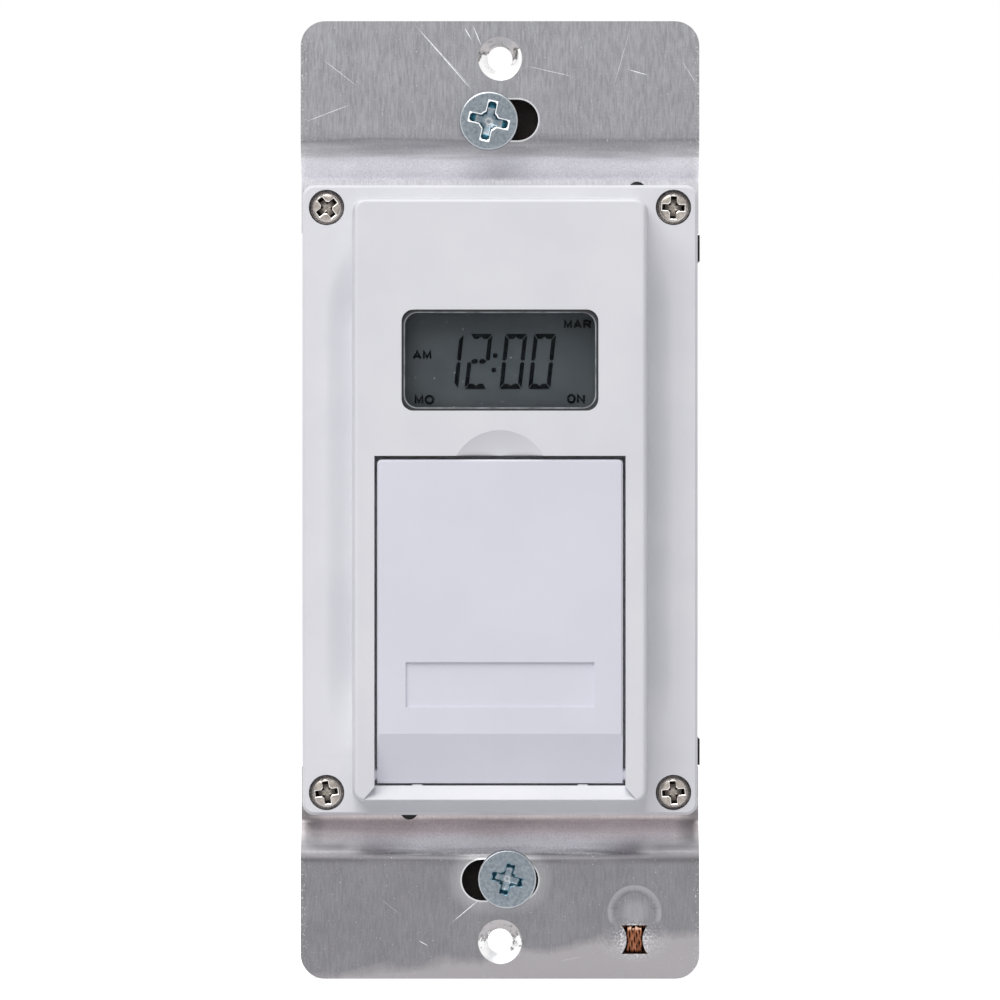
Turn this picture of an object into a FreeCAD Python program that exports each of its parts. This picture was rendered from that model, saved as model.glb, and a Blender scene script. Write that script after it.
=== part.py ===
import FreeCAD, Part
import Sketcher
import math
import os
import re

# An in-wall astronomic timer on its mounting strap.
# X runs across the strap, Y into the wall and Z up along the strap. The wall plane Y = 0 is the back
# face of the strap's ears, and the origin is midway between the two box screws. A front or a back is
# a distance ahead of the wall plane, towards the room, so it is measured along -Y.

document = FreeCAD.newDocument("timer")
sizes = document.addObject("Spreadsheet::Sheet", "sizes")

# Driving dimensions in millimetres, with what each one measures.
drivingSizes = [
    ("strapWidth", 43.7, "strap across"),
    ("earPast", 4.08, "strap past the wall plate holes"),
    ("strapThick", 1.3, "strap sheet"),
    ("strapCorner", 2.7, "ear corner radius"),
    ("strapSetBack", 3.0, "middle of the strap behind its ears"),
    ("bendRun", 3.8, "slope between the two bends, along"),
    ("bendPlay", 0.8, "bezel flange to the bend at the middle"),
    ("bendRadius", 1.0, "inside of each bend"),
    ("waistDeep", 1.15, "depth of each side cut-out"),
    ("waistLength", 58.8, "length of the side cut-outs"),
    ("openingSide", 1.4, "strap opening past the bezel cavity, each side"),
    ("openingEnd", 0.2, "strap opening past the bezel cavity, each end"),
    ("openingCorner", 1.5, "strap opening corner radius"),
    ("plateHoleSpacing", 96.84, "wall plate holes apart"),
    ("plateHoleDiameter", 2.75, "wall plate hole"),
    ("plateDimpleDiameter", 4.9, "countersink of the wall plate hole"),
    ("plateDimpleAngle", 100, "countersink angle of the wall plate hole in degrees"),
    ("slotSpacing", 83.34, "box screw slots apart"),
    ("slotLength", 8.4, "box screw slot across"),
    ("slotHeight", 4.5, "box screw slot along"),
    ("pinholeDiameter", 1.75, "strap tooling hole"),
    ("pinholeTopX", 15.1, "upper tooling hole, to the right"),
    ("pinholeTopInside", 0.7, "upper tooling hole inside the end of the flange"),
    ("pinholeLowX", 10.0, "lower tooling hole, to the left"),
    ("pinholeLowInside", 0.4, "lower tooling hole inside the end of the flange"),
    ("stakeInset", 7.1, "ground stake from the right edge of the strap"),
    ("stakeUp", 4.3, "ground stake from the lower end of the strap"),
    ("stakeWidth", 2.9, "ground stake window across its ends"),
    ("stakeWaist", 1.75, "ground stake window across its waist"),
    ("stakeHeight", 3.15, "ground stake window along"),
    ("archRise", 3.4, "centre of the arch above the stake"),
    ("archRadius", 2.7, "outside of the arch"),
    ("archWide", 0.9, "width of the arch groove"),
    ("archDeep", 0.18, "depth of the arch groove"),
    ("flangeMargin", 0.2, "bezel flange inside the edge of the strap"),
    ("flangeLength", 69.0, "bezel flange along"),
    ("flangeCorner", 1.3, "bezel flange corner radius"),
    ("flangeFront", 2.0, "bezel flange front"),
    ("faceBaseWidth", 32.7, "raised face across, at the wall plane"),
    ("faceBaseLength", 66.5, "raised face along, at the wall plane"),
    ("faceDraft", 4.2, "draft of the raised face in degrees"),
    ("faceFront", 7.5, "raised face front"),
    ("faceCorner", 1.7, "raised face corner radius"),
    ("faceEdge", 0.4, "rounding of the face edge"),
    ("flangeEdge", 0.3, "bevel of the flange edge"),
    ("coveRadius", 3.5, "radius of the side coves"),
    ("coveCentreX", 16.2, "axis of the side coves from the centre"),
    ("coveRaise", 1.6, "axis of the side coves ahead of the flange"),
    ("coveLength", 56.0, "side coves along"),
    ("wallThick", 1.5, "wall of the mouldings"),
    ("sideWall", 1.75, "side walls of the raised face, at the wall plane"),
    ("displayRoomLow", 8.3, "lower wall of the display room"),
    ("windowWidth", 21.4, "display window across"),
    ("windowHeight", 11.0, "display window along"),
    ("windowZ", 15.2, "centre of the display window"),
    ("windowCorner", 1.3, "display window corner radius"),
    ("windowSunk", 0.5, "lens below the face"),
    ("windowPlay", 0.1, "lens to its opening"),
    ("windowFlange", 1.2, "lens flange past the opening"),
    ("windowFlangeThick", 0.9, "lens flange thickness"),
    ("glassSide", 2.0, "display glass past its window, each side"),
    ("glassEnd", 1.2, "display glass past its window, each end"),
    ("glassLedge", 2.0, "ledge of the front display glass"),
    ("glassThick", 1.1, "each display glass"),
    ("glassPlay", 0.15, "display glass to its rib"),
    ("glassRib", 1.0, "rib above the display glass, along"),
    ("stripShort", 1.2, "elastomer strip inside the glass, each end"),
    ("stripThick", 1.6, "elastomer strip along"),
    ("pocketWidth", 27.3, "door pocket across"),
    ("pocketTop", 4.8, "door pocket upper wall"),
    ("pocketLow", 31.1, "door pocket lower wall, down"),
    ("deckFront", 4.1, "front of the key deck"),
    ("deckThick", 1.5, "key deck"),
    ("scoopRadius", 6.2, "ball of the thumb scoop"),
    ("scoopZ", 2.1, "centre of the thumb scoop"),
    ("scoopRaise", 2.9, "centre of the thumb scoop ahead of the face"),
    ("bevelRise", 1.5, "bevel below the door, along the strap"),
    ("bevelDeep", 1.8, "bevel below the door, into the face"),
    ("bevelWidth", 29.8, "bevel across, at the face"),
    ("bevelMitre", 1.5, "mitred end of the bevel, across"),
    ("doorPlay", 0.3, "door to the pocket, each side"),
    ("doorTopPlay", 0.4, "door to the pocket, above"),
    ("doorLowPlay", 0.26, "door to the pocket, below"),
    ("doorSunk", 0.1, "door below the face"),
    ("doorThick", 1.5, "door sheet"),
    ("doorSlope", 5.44, "sloping end of the door, along"),
    ("doorLipThick", 0.8, "door at its lower edge"),
    ("doorSkirt", 0.8, "width of the stiffening skirt"),
    ("doorSkirtDeep", 0.95, "stiffening skirt behind the door sheet"),
    ("badgeWidth", 20.5, "bare badge recess across"),
    ("badgeHeight", 4.9, "bare badge recess along"),
    ("badgeZ", 20.05, "centre of the bare badge recess, down"),
    ("badgeDeep", 0.3, "depth of the bare badge recess"),
    ("hingeUp", 0.94, "hinge axis above the lower edge of the door"),
    ("hingePinDiameter", 1.3, "hinge pin"),
    ("hingePinLong", 0.9, "hinge pin past the door"),
    ("hingePlay", 0.05, "hinge pin radial play"),
    ("hingePinRoom", 0.15, "hinge hole past the end of the pin"),
    ("pressNubSide", 2.8, "nub behind the door that meets the first key"),
    ("pressGap", 0.57, "press nub to the first key"),
    ("tabX", 9.0, "hinge gap tab from the centre"),
    ("tabWide", 1.07, "hinge gap tab across"),
    ("tabHigh", 0.12, "hinge gap tab along"),
    ("keyColumnGap", 0.35, "key flange to the battery well"),
    ("keyTopZ", 0.4, "first key, down"),
    ("keyPitch", 7.4, "key to key"),
    ("keyWidth", 6.2, "key across"),
    ("keyHeight", 5.0, "key along"),
    ("keyRise", 0.8, "key above the deck"),
    ("keyPlay", 0.15, "key to its opening"),
    ("keyFlange", 0.5, "key flange past its opening"),
    ("keyFlangeThick", 0.7, "key flange thickness"),
    ("keyFlangeGap", 0.1, "key flange to the deck"),
    ("keyCrown", 0.45, "bevel of the key"),
    ("boardFront", -0.8, "control board front"),
    ("boardThick", 1.2, "control board"),
    ("boardPlay", 0.4, "control board to the cavity, each side"),
    ("boardTopPlay", 0.5, "control board to the cavity, above"),
    ("boardLowPlay", 0.9, "control board to the cavity, below"),
    ("boardArmGap", 0.6, "control board arm to the battery well"),
    ("boardYokeUp", 0.6, "upper part of the control board above the door pocket"),
    ("postSide", 2.6, "square board post"),
    ("postPinSide", 1.1, "locating pin of a board post"),
    ("postPinPlay", 0.05, "locating pin to its hole, each side"),
    ("postX", 12.6, "board posts from the centre"),
    ("postTopZ", 29.4, "upper board posts"),
    ("postLowZ", 28.9, "lower board post, down"),
    ("switchSide", 4.5, "key switch body"),
    ("switchHeight", 1.5, "key switch body height"),
    ("plungerSide", 2.0, "key switch plunger"),
    ("plungerSunk", 0.6, "plunger inside the switch"),
    ("trayMargin", 0.5, "battery tray to the left side of the door pocket"),
    ("cellDiameter", 15.6, "battery cell"),
    ("cellLength", 27.0, "battery cell along"),
    ("cellPlay", 0.2, "battery cell radial play"),
    ("cellEndPlay", 0.3, "battery cell play at each end"),
    ("cellZ", 14.4, "centre of the battery cell, down"),
    ("cellNub", 0.8, "battery cell terminal"),
    ("cellNubDiameter", 6.0, "battery cell terminal across"),
    ("trayEnd", 1.3, "end wall of the battery tray"),
    ("traySide", 0.7, "side wall of the battery tray"),
    ("trayPlay", 0.15, "tray to its well"),
    ("fingerGrooveLong", 9.0, "finger groove of the tray across"),
    ("fingerGroove", 2.2, "finger groove of the tray along"),
    ("fingerGrooveDeep", 0.8, "finger groove depth"),
    ("wellWall", 0.9, "wall of the battery well"),
    ("wellFloor", 1.0, "floor of the battery well"),
    ("contactThick", 0.35, "battery contact sheet"),
    ("contactWidth", 4.6, "battery contact across"),
    ("contactHeight", 9.0, "battery contact along the well"),
    ("contactBow", 5.6, "bowed stretch of the contact"),
    ("contactSlotFront", 1.0, "front end of the slots for the contacts"),
    ("contactGap", 0.05, "contact to the cell"),
    ("caseScrewInX", 2.65, "case screws from the sides of the flange"),
    ("caseScrewInZ", 2.45, "case screws from the ends of the flange"),
    ("caseScrewShank", 2.2, "case screw shank"),
    ("caseScrewHead", 3.5, "case screw head"),
    ("caseScrewHeadThick", 1.2, "case screw head thickness"),
    ("caseScrewLong", 9.0, "case screw below its head"),
    ("caseScrewPlay", 0.05, "case screw to its boss, radial"),
    ("caseScrewRoom", 0.5, "boss hole past the case screw"),
    ("caseScrewClear", 2.6, "case screw clearance hole"),
    ("counterboreDiameter", 3.9, "case screw counterbore"),
    ("counterboreDeep", 1.5, "case screw counterbore depth"),
    ("rearMargin", 0.35, "rear housing inside the edge of the strap"),
    ("rearEnd", 0.1, "rear housing inside the ends of the flange"),
    ("rearCorner", 2.2, "rear housing corner radius"),
    ("rearStep", 16.5, "deep stage starts behind the wall plane"),
    ("rearDeep", 31.0, "back of the rear housing behind the wall plane"),
    ("rearStepSide", 1.6, "deep stage inside the rim, each side"),
    ("rearStepEnd", 2.7, "deep stage inside the rim, each end"),
    ("rearWall", 1.6, "rear housing wall"),
    ("rearEdge", 1.0, "bevel of the rear housing back"),
    ("bossDiameter", 4.5, "case screw boss"),
    ("clipProud", 0.15, "right side clips past the edge of the strap"),
    ("clipShy", 0.25, "left side clips inside the edge of the strap"),
    ("clipPlay", 0.2, "side clip to the strap's side cut-out"),
    ("clipLength", 2.85, "side clip along"),
    ("clipEndPlay", 0.225, "side clip to the end of its side cut-out"),
    ("clipGap", 0.05, "side clip to the flange"),
    ("leadExit", 3.5, "lead exit in the back"),
    ("leadPitch", 7.0, "lead exits apart"),
    ("leadExitZ", 25.0, "lead exits, down"),
    ("powerBack", 22.6, "power board back behind the wall plane"),
    ("powerThick", 1.6, "power board"),
    ("powerPlay", 0.7, "power board to the housing, each side"),
    ("powerEndPlay", 0.8, "power board to the housing, each end"),
    ("ribWide", 1.2, "power board rail across"),
    ("ribLength", 44.6, "power board rail along"),
    ("relayWidth", 15.5, "relay across"),
    ("relayLength", 20.5, "relay along"),
    ("relayHigh", 14.8, "relay height"),
    ("relaySide", 1.25, "relay to the left edge of its board"),
    ("relayEnd", 1.65, "relay to the upper edge of its board"),
    ("filmWidth", 6.0, "film capacitor across"),
    ("filmLength", 14.5, "film capacitor along"),
    ("filmHigh", 12.5, "film capacitor height"),
    ("filmSide", 1.2, "film capacitor to the right edge of its board"),
    ("filmEnd", 0.6, "film capacitor to the lower edge of its board"),
    ("canDiameter", 8.0, "supply capacitor"),
    ("canHigh", 12.0, "supply capacitor height"),
    ("canSide", 1.0, "supply capacitors to the right edge of their board"),
    ("canEnd", 2.7, "first supply capacitor to the upper edge of its board"),
    ("canPitch", 9.6, "supply capacitors apart"),
    ("varistorDiameter", 9.0, "varistor disc"),
    ("varistorThick", 4.0, "varistor thickness"),
    ("varistorSide", 3.1, "varistor to the left edge of its board"),
    ("varistorEnd", 1.8, "varistor to the lower edge of its board"),
    ("rectifierSide", 6.5, "rectifier across"),
    ("rectifierLength", 5.0, "rectifier along"),
    ("rectifierHigh", 2.6, "rectifier height"),
    ("rectifierX", -3.0, "rectifier centre"),
    ("rectifierZ", 10.0, "rectifier centre, down"),
    ("fuseDiameter", 3.0, "fuse resistor"),
    ("fuseLength", 9.0, "fuse resistor along"),
    ("fuseX", 1.5, "fuse resistor centre"),
    ("fuseZ", 22.5, "fuse resistor centre, down"),
    ("headerPitch", 2.54, "header pins apart"),
    ("headerHigh", 2.5, "header base"),
    ("headerPin", 0.64, "header pin across"),
    ("headerSide", 0.33, "header to the right edge of the control board"),
    ("headerZ", 6.0, "header centre, down"),
    ("chipSide", 7.0, "microcontroller"),
    ("chipHigh", 1.4, "microcontroller height"),
    ("chipX", -5.0, "microcontroller centre"),
    ("chipZ", 26.6, "microcontroller centre, up"),
    ("crystalDiameter", 2.1, "clock crystal"),
    ("crystalLength", 6.2, "clock crystal across"),
    ("crystalX", 2.6, "clock crystal start"),
    ("boxScrewDiameter", 3.5, "box screw shank"),
    ("boxScrewHead", 6.4, "box screw head"),
    ("boxScrewHeadThick", 1.3, "box screw head thickness"),
    ("boxScrewLong", 20.5, "box screw below its head"),
    ("boxScrewNeck", 3.0, "plain neck under the box screw head"),
    ("neckPast", 0.1, "neck past the retainer"),
    ("boxScrewSlack", 0.17, "box screw from the middle line of its slot"),
    ("topScrewX", -1.23, "upper box screw as it stands in its slot"),
    ("lowScrewX", 0.78, "lower box screw as it stands in its slot"),
    ("headGap", 0.1, "box screw head to the ear"),
    ("retainerWidth", 10.6, "screw retainer across"),
    ("retainerHeight", 5.4, "screw retainer along"),
    ("retainerThick", 0.8, "screw retainer thickness"),
    ("retainerLift", 0.95, "retainer centre beyond its screw"),
    ("retainerGap", 0.1, "retainer to the back of the ear"),
    ("retainerPlay", 0.06, "retainer to the neck of the screw"),
    ("conductorDiameter", 1.4, "bare ground conductor"),
    ("conductorTop", 1.35, "upper end of the conductor above the stake"),
    ("conductorDrop", 0.75, "where the conductor turns back, below the stake"),
    ("leadStart", 2.2, "insulation starts behind the wall plane"),
    ("leadDiameter", 2.7, "insulated ground lead"),
    ("leadBare", 9.0, "stripped end of the ground lead"),
    ("smallCorner", 0.5, "corner radius of small openings and keys"),
]

for row, (alias, value, note) in enumerate(drivingSizes, start=1):
    sizes.set(f"A{row}", note)
    sizes.set(f"B{row}", str(value))
    sizes.setAlias(f"B{row}", alias)
document.recompute()

# Sizes and places that follow from the driving ones. What fits in, seats on or lines up with another
# piece takes its size from that piece and a named clearance.
followingSizes = [
    ("strapLength", "plateHoleSpacing + 2 * earPast"),
    ("strapSeat", "strapThick - strapSetBack"),
    ("strapBack", "0 - strapSetBack"),
    ("bendInner", "flangeLength / 2 + bendPlay"),
    ("bendOuter", "bendInner + bendRun"),
    ("bendLean", "strapThick * tan(atan(strapSetBack / bendRun) / 2)"),
    ("waistWidth", "strapWidth - 2 * waistDeep"),
    ("openingWidth", "cavityWidth + 2 * openingSide"),
    ("openingLength", "cavityLength + 2 * openingEnd"),
    ("stakeX", "strapWidth / 2 - stakeInset"),
    ("stakeZ", "strapLength / 2 - stakeUp"),
    ("flangeWidth", "strapWidth - 2 * flangeMargin"),
    ("cavityWidth", "faceBaseWidth - 2 * sideWall"),
    ("cavityLength", "faceBaseLength - 2 * sideWall"),
    ("deckBack", "deckFront - deckThick"),
    ("roofBack", "faceFront - wallThick"),
    ("lensBack", "roofBack - windowFlangeThick"),
    ("glassMiddle", "lensBack - glassThick"),
    ("glassBack", "lensBack - 2 * glassThick"),
    ("glassWidth", "windowWidth + 2 * glassSide"),
    ("glassHeight", "windowHeight + 2 * glassEnd"),
    ("rearGlassHeight", "glassHeight - 2 * glassLedge"),
    ("stripLength", "glassWidth - 2 * stripShort"),
    ("doorWidth", "pocketWidth - 2 * doorPlay"),
    ("doorTop", "pocketTop - doorTopPlay"),
    ("doorLow", "pocketLow - doorLowPlay"),
    ("doorFront", "faceFront - doorSunk"),
    ("doorBack", "doorFront - doorThick"),
    ("doorBreak", "doorLow - doorSlope"),
    ("doorLip", "doorFront - bevelDeep"),
    ("hingeFront", "doorLip - doorLipThick / 2"),
    ("hingeZ", "doorLow - hingeUp"),
    ("keyTop", "deckFront + keyRise"),
    ("trayLength", "cellLength + 2 * cellEndPlay + 2 * trayEnd"),
    ("trayWidth", "cellDiameter + 2 * cellPlay + 2 * traySide"),
    ("trayX", "trayMargin + trayWidth / 2 - pocketWidth / 2"),
    ("cellFront", "deckBack - cellPlay"),
    ("cellAxis", "cellFront - cellDiameter / 2"),
    ("wellBack", "cellFront - cellDiameter - cellPlay"),
    ("wellEdgeX", "trayX + trayWidth / 2 + trayPlay + wellWall"),
    ("keyX", "wellEdgeX + keyColumnGap + keyFlange + keyPlay + keyWidth / 2"),
    ("boardBack", "boardFront - boardThick"),
    ("boardWidth", "cavityWidth - 2 * boardPlay"),
    ("boardTop", "cavityLength / 2 - boardTopPlay"),
    ("boardLow", "cavityLength / 2 - boardLowPlay"),
    ("boardArmX", "wellEdgeX + boardArmGap"),
    ("boardYokeZ", "pocketTop + boardYokeUp"),
    ("caseScrewX", "flangeWidth / 2 - caseScrewInX"),
    ("caseScrewZ", "flangeLength / 2 - caseScrewInZ"),
    ("caseScrewSeat", "flangeFront - counterboreDeep"),
    ("rearWidth", "strapWidth - 2 * rearMargin"),
    ("rearLength", "flangeLength - 2 * rearEnd"),
    ("rearInWidth", "rearWidth - 2 * rearStepSide"),
    ("rearInLength", "rearLength - 2 * rearStepEnd"),
    ("rearStepFront", "0 - rearStep"),
    ("rearDeepBack", "0 - rearDeep"),
    ("clipZ", "waistLength / 2 - clipEndPlay - clipLength / 2"),
    ("powerWidth", "rearInWidth - 2 * rearWall - 2 * powerPlay"),
    ("powerLength", "rearInLength - 2 * rearWall - 2 * powerEndPlay"),
    ("powerFront", "powerThick - powerBack"),
    ("boxScrewZ", "slotSpacing / 2 - boxScrewSlack"),
    ("retainerBack", "0 - retainerGap - retainerThick"),
    ("pinholeTopZ", "flangeLength / 2 - pinholeTopInside"),
    ("pinholeLowZ", "flangeLength / 2 - pinholeLowInside"),
    ("relayX", "relaySide + relayWidth / 2 - powerWidth / 2"),
    ("relayZ", "powerLength / 2 - relayEnd - relayLength / 2"),
    ("filmX", "powerWidth / 2 - filmSide - filmWidth / 2"),
    ("filmZ", "powerLength / 2 - filmEnd - filmLength / 2"),
    ("canX", "powerWidth / 2 - canSide - canDiameter / 2"),
    ("canTopZ", "powerLength / 2 - canEnd - canDiameter / 2"),
    ("varistorX", "varistorSide + varistorDiameter / 2 - powerWidth / 2"),
    ("varistorZ", "powerLength / 2 - varistorEnd - varistorDiameter / 2"),
    ("headerX", "boardWidth / 2 - headerSide - headerPitch / 2"),
    ("retainerFront", "0 - retainerGap"),
    ("neckEnd", "retainerBack - neckPast"),
    ("clipReach", "strapWidth / 2 + clipProud"),
    ("clipReachLeft", "strapWidth / 2 - clipShy"),
    ("doorSkirtBack", "doorBack - doorSkirtDeep"),
    ("pressNubBack", "keyTop + pressGap"),
    ("keyFlangeFront", "deckBack - keyFlangeGap"),
    ("keyFlangeBack", "keyFlangeFront - keyFlangeThick"),
    ("switchFront", "boardFront + switchHeight"),
    ("bossHoleEnd", "caseScrewSeat - caseScrewLong - caseScrewRoom"),
]

for row, (alias, formula) in enumerate(followingSizes, start=len(drivingSizes) + 1):
    sizes.set(f"B{row}", "=" + formula)
    sizes.setAlias(f"B{row}", alias)
document.recompute()

sizeNames = re.compile(
    r"(?<![\w.])(" + "|".join(row[0] for row in drivingSizes + followingSizes) + r")(?!\w)"
)

# The keys from the top down, and the pins of the header.
keyNames = ["on_off", "mode", "plus", "minus"]
headerPins = 6


def bound(expression):
    return sizeNames.sub(r"sizes.\1", expression)


def number(expression):
    return float(sizes.evalExpression(bound(expression)))


def bind(item, prop, expression):
    item.setExpression(prop, bound(expression))


def newBody(label):
    body = document.addObject("PartDesign::Body", label)
    body.Label = label
    return body


def originPlane(body, role):
    return next(plane for plane in body.Origin.OriginFeatures if plane.Role == role)


def newSketch(body, name, role, offset):
    sketch = body.newObject("Sketcher::SketchObject", name)
    sketch.AttachmentSupport = [(originPlane(body, role), "")]
    sketch.MapMode = "FlatFace"
    bind(sketch, "AttachmentOffset.Base.z", offset)
    return sketch


def datum(sketch, kind, position, expression):
    # One dimension of a sketch, held by the sheet.
    index = sketch.addConstraint(Sketcher.Constraint(kind, *position, number(expression)))
    name = f"{kind}{index}"
    sketch.renameConstraint(index, name)
    bind(sketch, f"Constraints.{name}", expression)


def pinPoint(sketch, geometry, vertex, x, y):
    datum(sketch, "DistanceX", (-1, 1, geometry, vertex), x)
    datum(sketch, "DistanceY", (-1, 1, geometry, vertex), y)


def circle(sketch, x, y, diameter):
    centre = FreeCAD.Vector(number(x), number(y), 0)
    index = sketch.addGeometry(Part.Circle(centre, FreeCAD.Vector(0, 0, 1), number(diameter) / 2))
    pinPoint(sketch, index, 3, x, y)
    datum(sketch, "Diameter", (index,), diameter)


def polygon(sketch, corners):
    points = [FreeCAD.Vector(number(x), number(y), 0) for x, y in corners]
    first = sketch.GeometryCount
    for start, end in zip(points, points[1:] + points[:1]):
        sketch.addGeometry(Part.LineSegment(start, end))
    for step, (x, y) in enumerate(corners):
        before = first + (step - 1) % len(corners)
        sketch.addConstraint(Sketcher.Constraint("Coincident", before, 2, first + step, 1))
        pinPoint(sketch, first + step, 1, x, y)


def rectangle(sketch, x, y, width, height):
    left, right = f"{x} - ({width}) / 2", f"{x} + ({width}) / 2"
    low, high = f"{y} - ({height}) / 2", f"{y} + ({height}) / 2"
    polygon(sketch, [(left, low), (right, low), (right, high), (left, high)])


def roundedRectangle(sketch, x, y, width, height, radius):
    # Four lines joined by four tangent quarter arcs of one radius.
    halfWide, halfHigh, corner = number(width) / 2, number(height) / 2, number(radius)
    centre = FreeCAD.Vector(number(x), number(y), 0)
    inX, inY = halfWide - corner, halfHigh - corner
    sides = [
        ((-inX, -halfHigh), (inX, -halfHigh), (inX, -inY), -90),
        ((halfWide, -inY), (halfWide, inY), (inX, inY), 0),
        ((inX, halfHigh), (-inX, halfHigh), (-inX, inY), 90),
        ((-halfWide, inY), (-halfWide, -inY), (-inX, -inY), 180),
    ]
    first = sketch.GeometryCount
    for start, end, pivot, angle in sides:
        sketch.addGeometry(
            Part.LineSegment(centre + FreeCAD.Vector(*start, 0), centre + FreeCAD.Vector(*end, 0))
        )
        ring = Part.Circle(centre + FreeCAD.Vector(*pivot, 0), FreeCAD.Vector(0, 0, 1), corner)
        sketch.addGeometry(Part.ArcOfCircle(ring, math.radians(angle), math.radians(angle + 90)))
    for step in range(4):
        line, arc, after = first + 2 * step, first + 2 * step + 1, first + (2 * step + 2) % 8
        sketch.addConstraint(Sketcher.Constraint("Tangent", line, 2, arc, 1))
        sketch.addConstraint(Sketcher.Constraint("Tangent", arc, 2, after, 1))
        if step:
            sketch.addConstraint(Sketcher.Constraint("Equal", first + 1, arc))
    sketch.addConstraint(Sketcher.Constraint("Horizontal", first))
    sketch.addConstraint(Sketcher.Constraint("Vertical", first + 2))
    sketch.addConstraint(Sketcher.Constraint("Horizontal", first + 4))
    sketch.addConstraint(Sketcher.Constraint("Vertical", first + 6))
    datum(sketch, "Radius", (first + 1,), radius)
    datum(sketch, "DistanceX", (-1, 1, first + 2, 1), f"{x} + ({width}) / 2")
    datum(sketch, "DistanceX", (-1, 1, first + 6, 1), f"{x} - ({width}) / 2")
    datum(sketch, "DistanceY", (-1, 1, first, 1), f"{y} - ({height}) / 2")
    datum(sketch, "DistanceY", (-1, 1, first + 4, 1), f"{y} + ({height}) / 2")


def obround(sketch, x, y, length, height):
    # A slot lying across, with half-round ends.
    radius = number(height) / 2
    reach = number(length) / 2 - radius
    centre = FreeCAD.Vector(number(x), number(y), 0)
    first = sketch.GeometryCount
    for side in (1, -1):
        start = centre + FreeCAD.Vector(-side * reach, -side * radius, 0)
        end = centre + FreeCAD.Vector(side * reach, -side * radius, 0)
        sketch.addGeometry(Part.LineSegment(start, end))
        ring = Part.Circle(centre + FreeCAD.Vector(side * reach, 0, 0), FreeCAD.Vector(0, 0, 1), radius)
        turn = -math.pi / 2 if side > 0 else math.pi / 2
        sketch.addGeometry(Part.ArcOfCircle(ring, turn, turn + math.pi))
    for step in range(4):
        after = first + (step + 1) % 4
        sketch.addConstraint(Sketcher.Constraint("Tangent", first + step, 2, after, 1))
    sketch.addConstraint(Sketcher.Constraint("Horizontal", first))
    sketch.addConstraint(Sketcher.Constraint("Horizontal", first + 2))
    pinPoint(sketch, first + 1, 3, f"{x} + ({length} - {height}) / 2", y)
    datum(sketch, "DistanceX", (-1, 1, first + 3, 3), f"{x} - ({length} - {height}) / 2")
    datum(sketch, "Radius", (first + 1,), f"{height} / 2")


def pad(body, name, draw, back, front, draft="0"):
    # A raised form between two distances ahead of the wall plane.
    sketch = newSketch(body, name + "Sketch", "XZ_Plane", back)
    draw(sketch)
    form = body.newObject("PartDesign::Pad", name)
    form.Profile = sketch
    bind(form, "Length", f"({front}) - ({back})")
    bind(form, "TaperAngle", draft)
    document.recompute()
    return form


def pocket(body, name, draw, back, front):
    # A cut between two distances ahead of the wall plane, compared by volume.
    before = body.Shape.Volume
    sketch = newSketch(body, name + "Sketch", "XZ_Plane", front)
    draw(sketch)
    cut = body.newObject("PartDesign::Pocket", name)
    cut.Profile = sketch
    bind(cut, "Length", f"({front}) - ({back})")
    document.recompute()
    if not body.Shape.Volume < before - 1e-6:
        raise RuntimeError(f"{name} of {body.Label} cuts nothing")
    return cut


def sidePad(body, name, draw, x, width):
    # A form drawn in side view, with Y across the sketch and Z up, as wide on both sides of x.
    sketch = newSketch(body, name + "Sketch", "YZ_Plane", x)
    draw(sketch)
    form = body.newObject("PartDesign::Pad", name)
    form.Profile = sketch
    form.SideType = "Symmetric"
    bind(form, "Length", width)
    document.recompute()
    return form


def sidePocket(body, name, draw, x, width):
    # A cut drawn in side view, as wide on both sides of x, compared by volume.
    before = body.Shape.Volume
    sketch = newSketch(body, name + "Sketch", "YZ_Plane", x)
    draw(sketch)
    cut = body.newObject("PartDesign::Pocket", name)
    cut.Profile = sketch
    cut.SideType = "Symmetric"
    bind(cut, "Length", width)
    document.recompute()
    if not body.Shape.Volume < before - 1e-6:
        raise RuntimeError(f"{name} of {body.Label} cuts nothing")
    return cut


def primitive(body, kind, name, role, place, values):
    # A ready-made form of a body, placed on one of its origin planes.
    before = body.Shape.Volume if body.Tip else 0
    form = body.newObject("PartDesign::" + kind, name)
    form.AttachmentSupport = [(originPlane(body, role), "")]
    form.MapMode = "FlatFace"
    for axis, expression in zip("xyz", place):
        bind(form, f"AttachmentOffset.Base.{axis}", expression)
    for prop, expression in values.items():
        bind(form, prop, expression)
    document.recompute()
    if abs(body.Shape.Volume - before) < 1e-6:
        raise RuntimeError(f"{name} of {body.Label} changes nothing")
    return form


def revolve(body, name, profile, x, z):
    # A turned form about an axis that runs front to back. The profile is front distance and radius.
    sketch = newSketch(body, name + "Sketch", "YZ_Plane", x)
    bind(sketch, "AttachmentOffset.Base.y", z)
    polygon(sketch, [(f"0 - ({front})", radius) for front, radius in profile])
    form = body.newObject("PartDesign::Revolution", name)
    form.Profile = sketch
    form.ReferenceAxis = (sketch, ["H_Axis"])
    form.Angle = 360
    document.recompute()
    return form


def dressEdges(body, kind, name, wanted, size):
    # A fillet or a chamfer on the edges of the body that the test picks.
    base = body.Tip
    picked = [f"Edge{place}" for place, edge in enumerate(base.Shape.Edges, start=1) if wanted(edge)]
    if not picked:
        raise RuntimeError(f"{name} of {body.Label} finds no edge")
    dressing = body.newObject("PartDesign::" + kind, name)
    dressing.Base = (base, picked)
    bind(dressing, {"Fillet": "Radius", "Chamfer": "Size"}[kind], size)
    document.recompute()
    return dressing


def roundEdges(body, name, wanted, radius):
    return dressEdges(body, "Fillet", name, wanted, radius)


def bevelEdges(body, name, wanted, size):
    return dressEdges(body, "Chamfer", name, wanted, size)


def near(first, second):
    return abs(first - second) < 0.01


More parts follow.
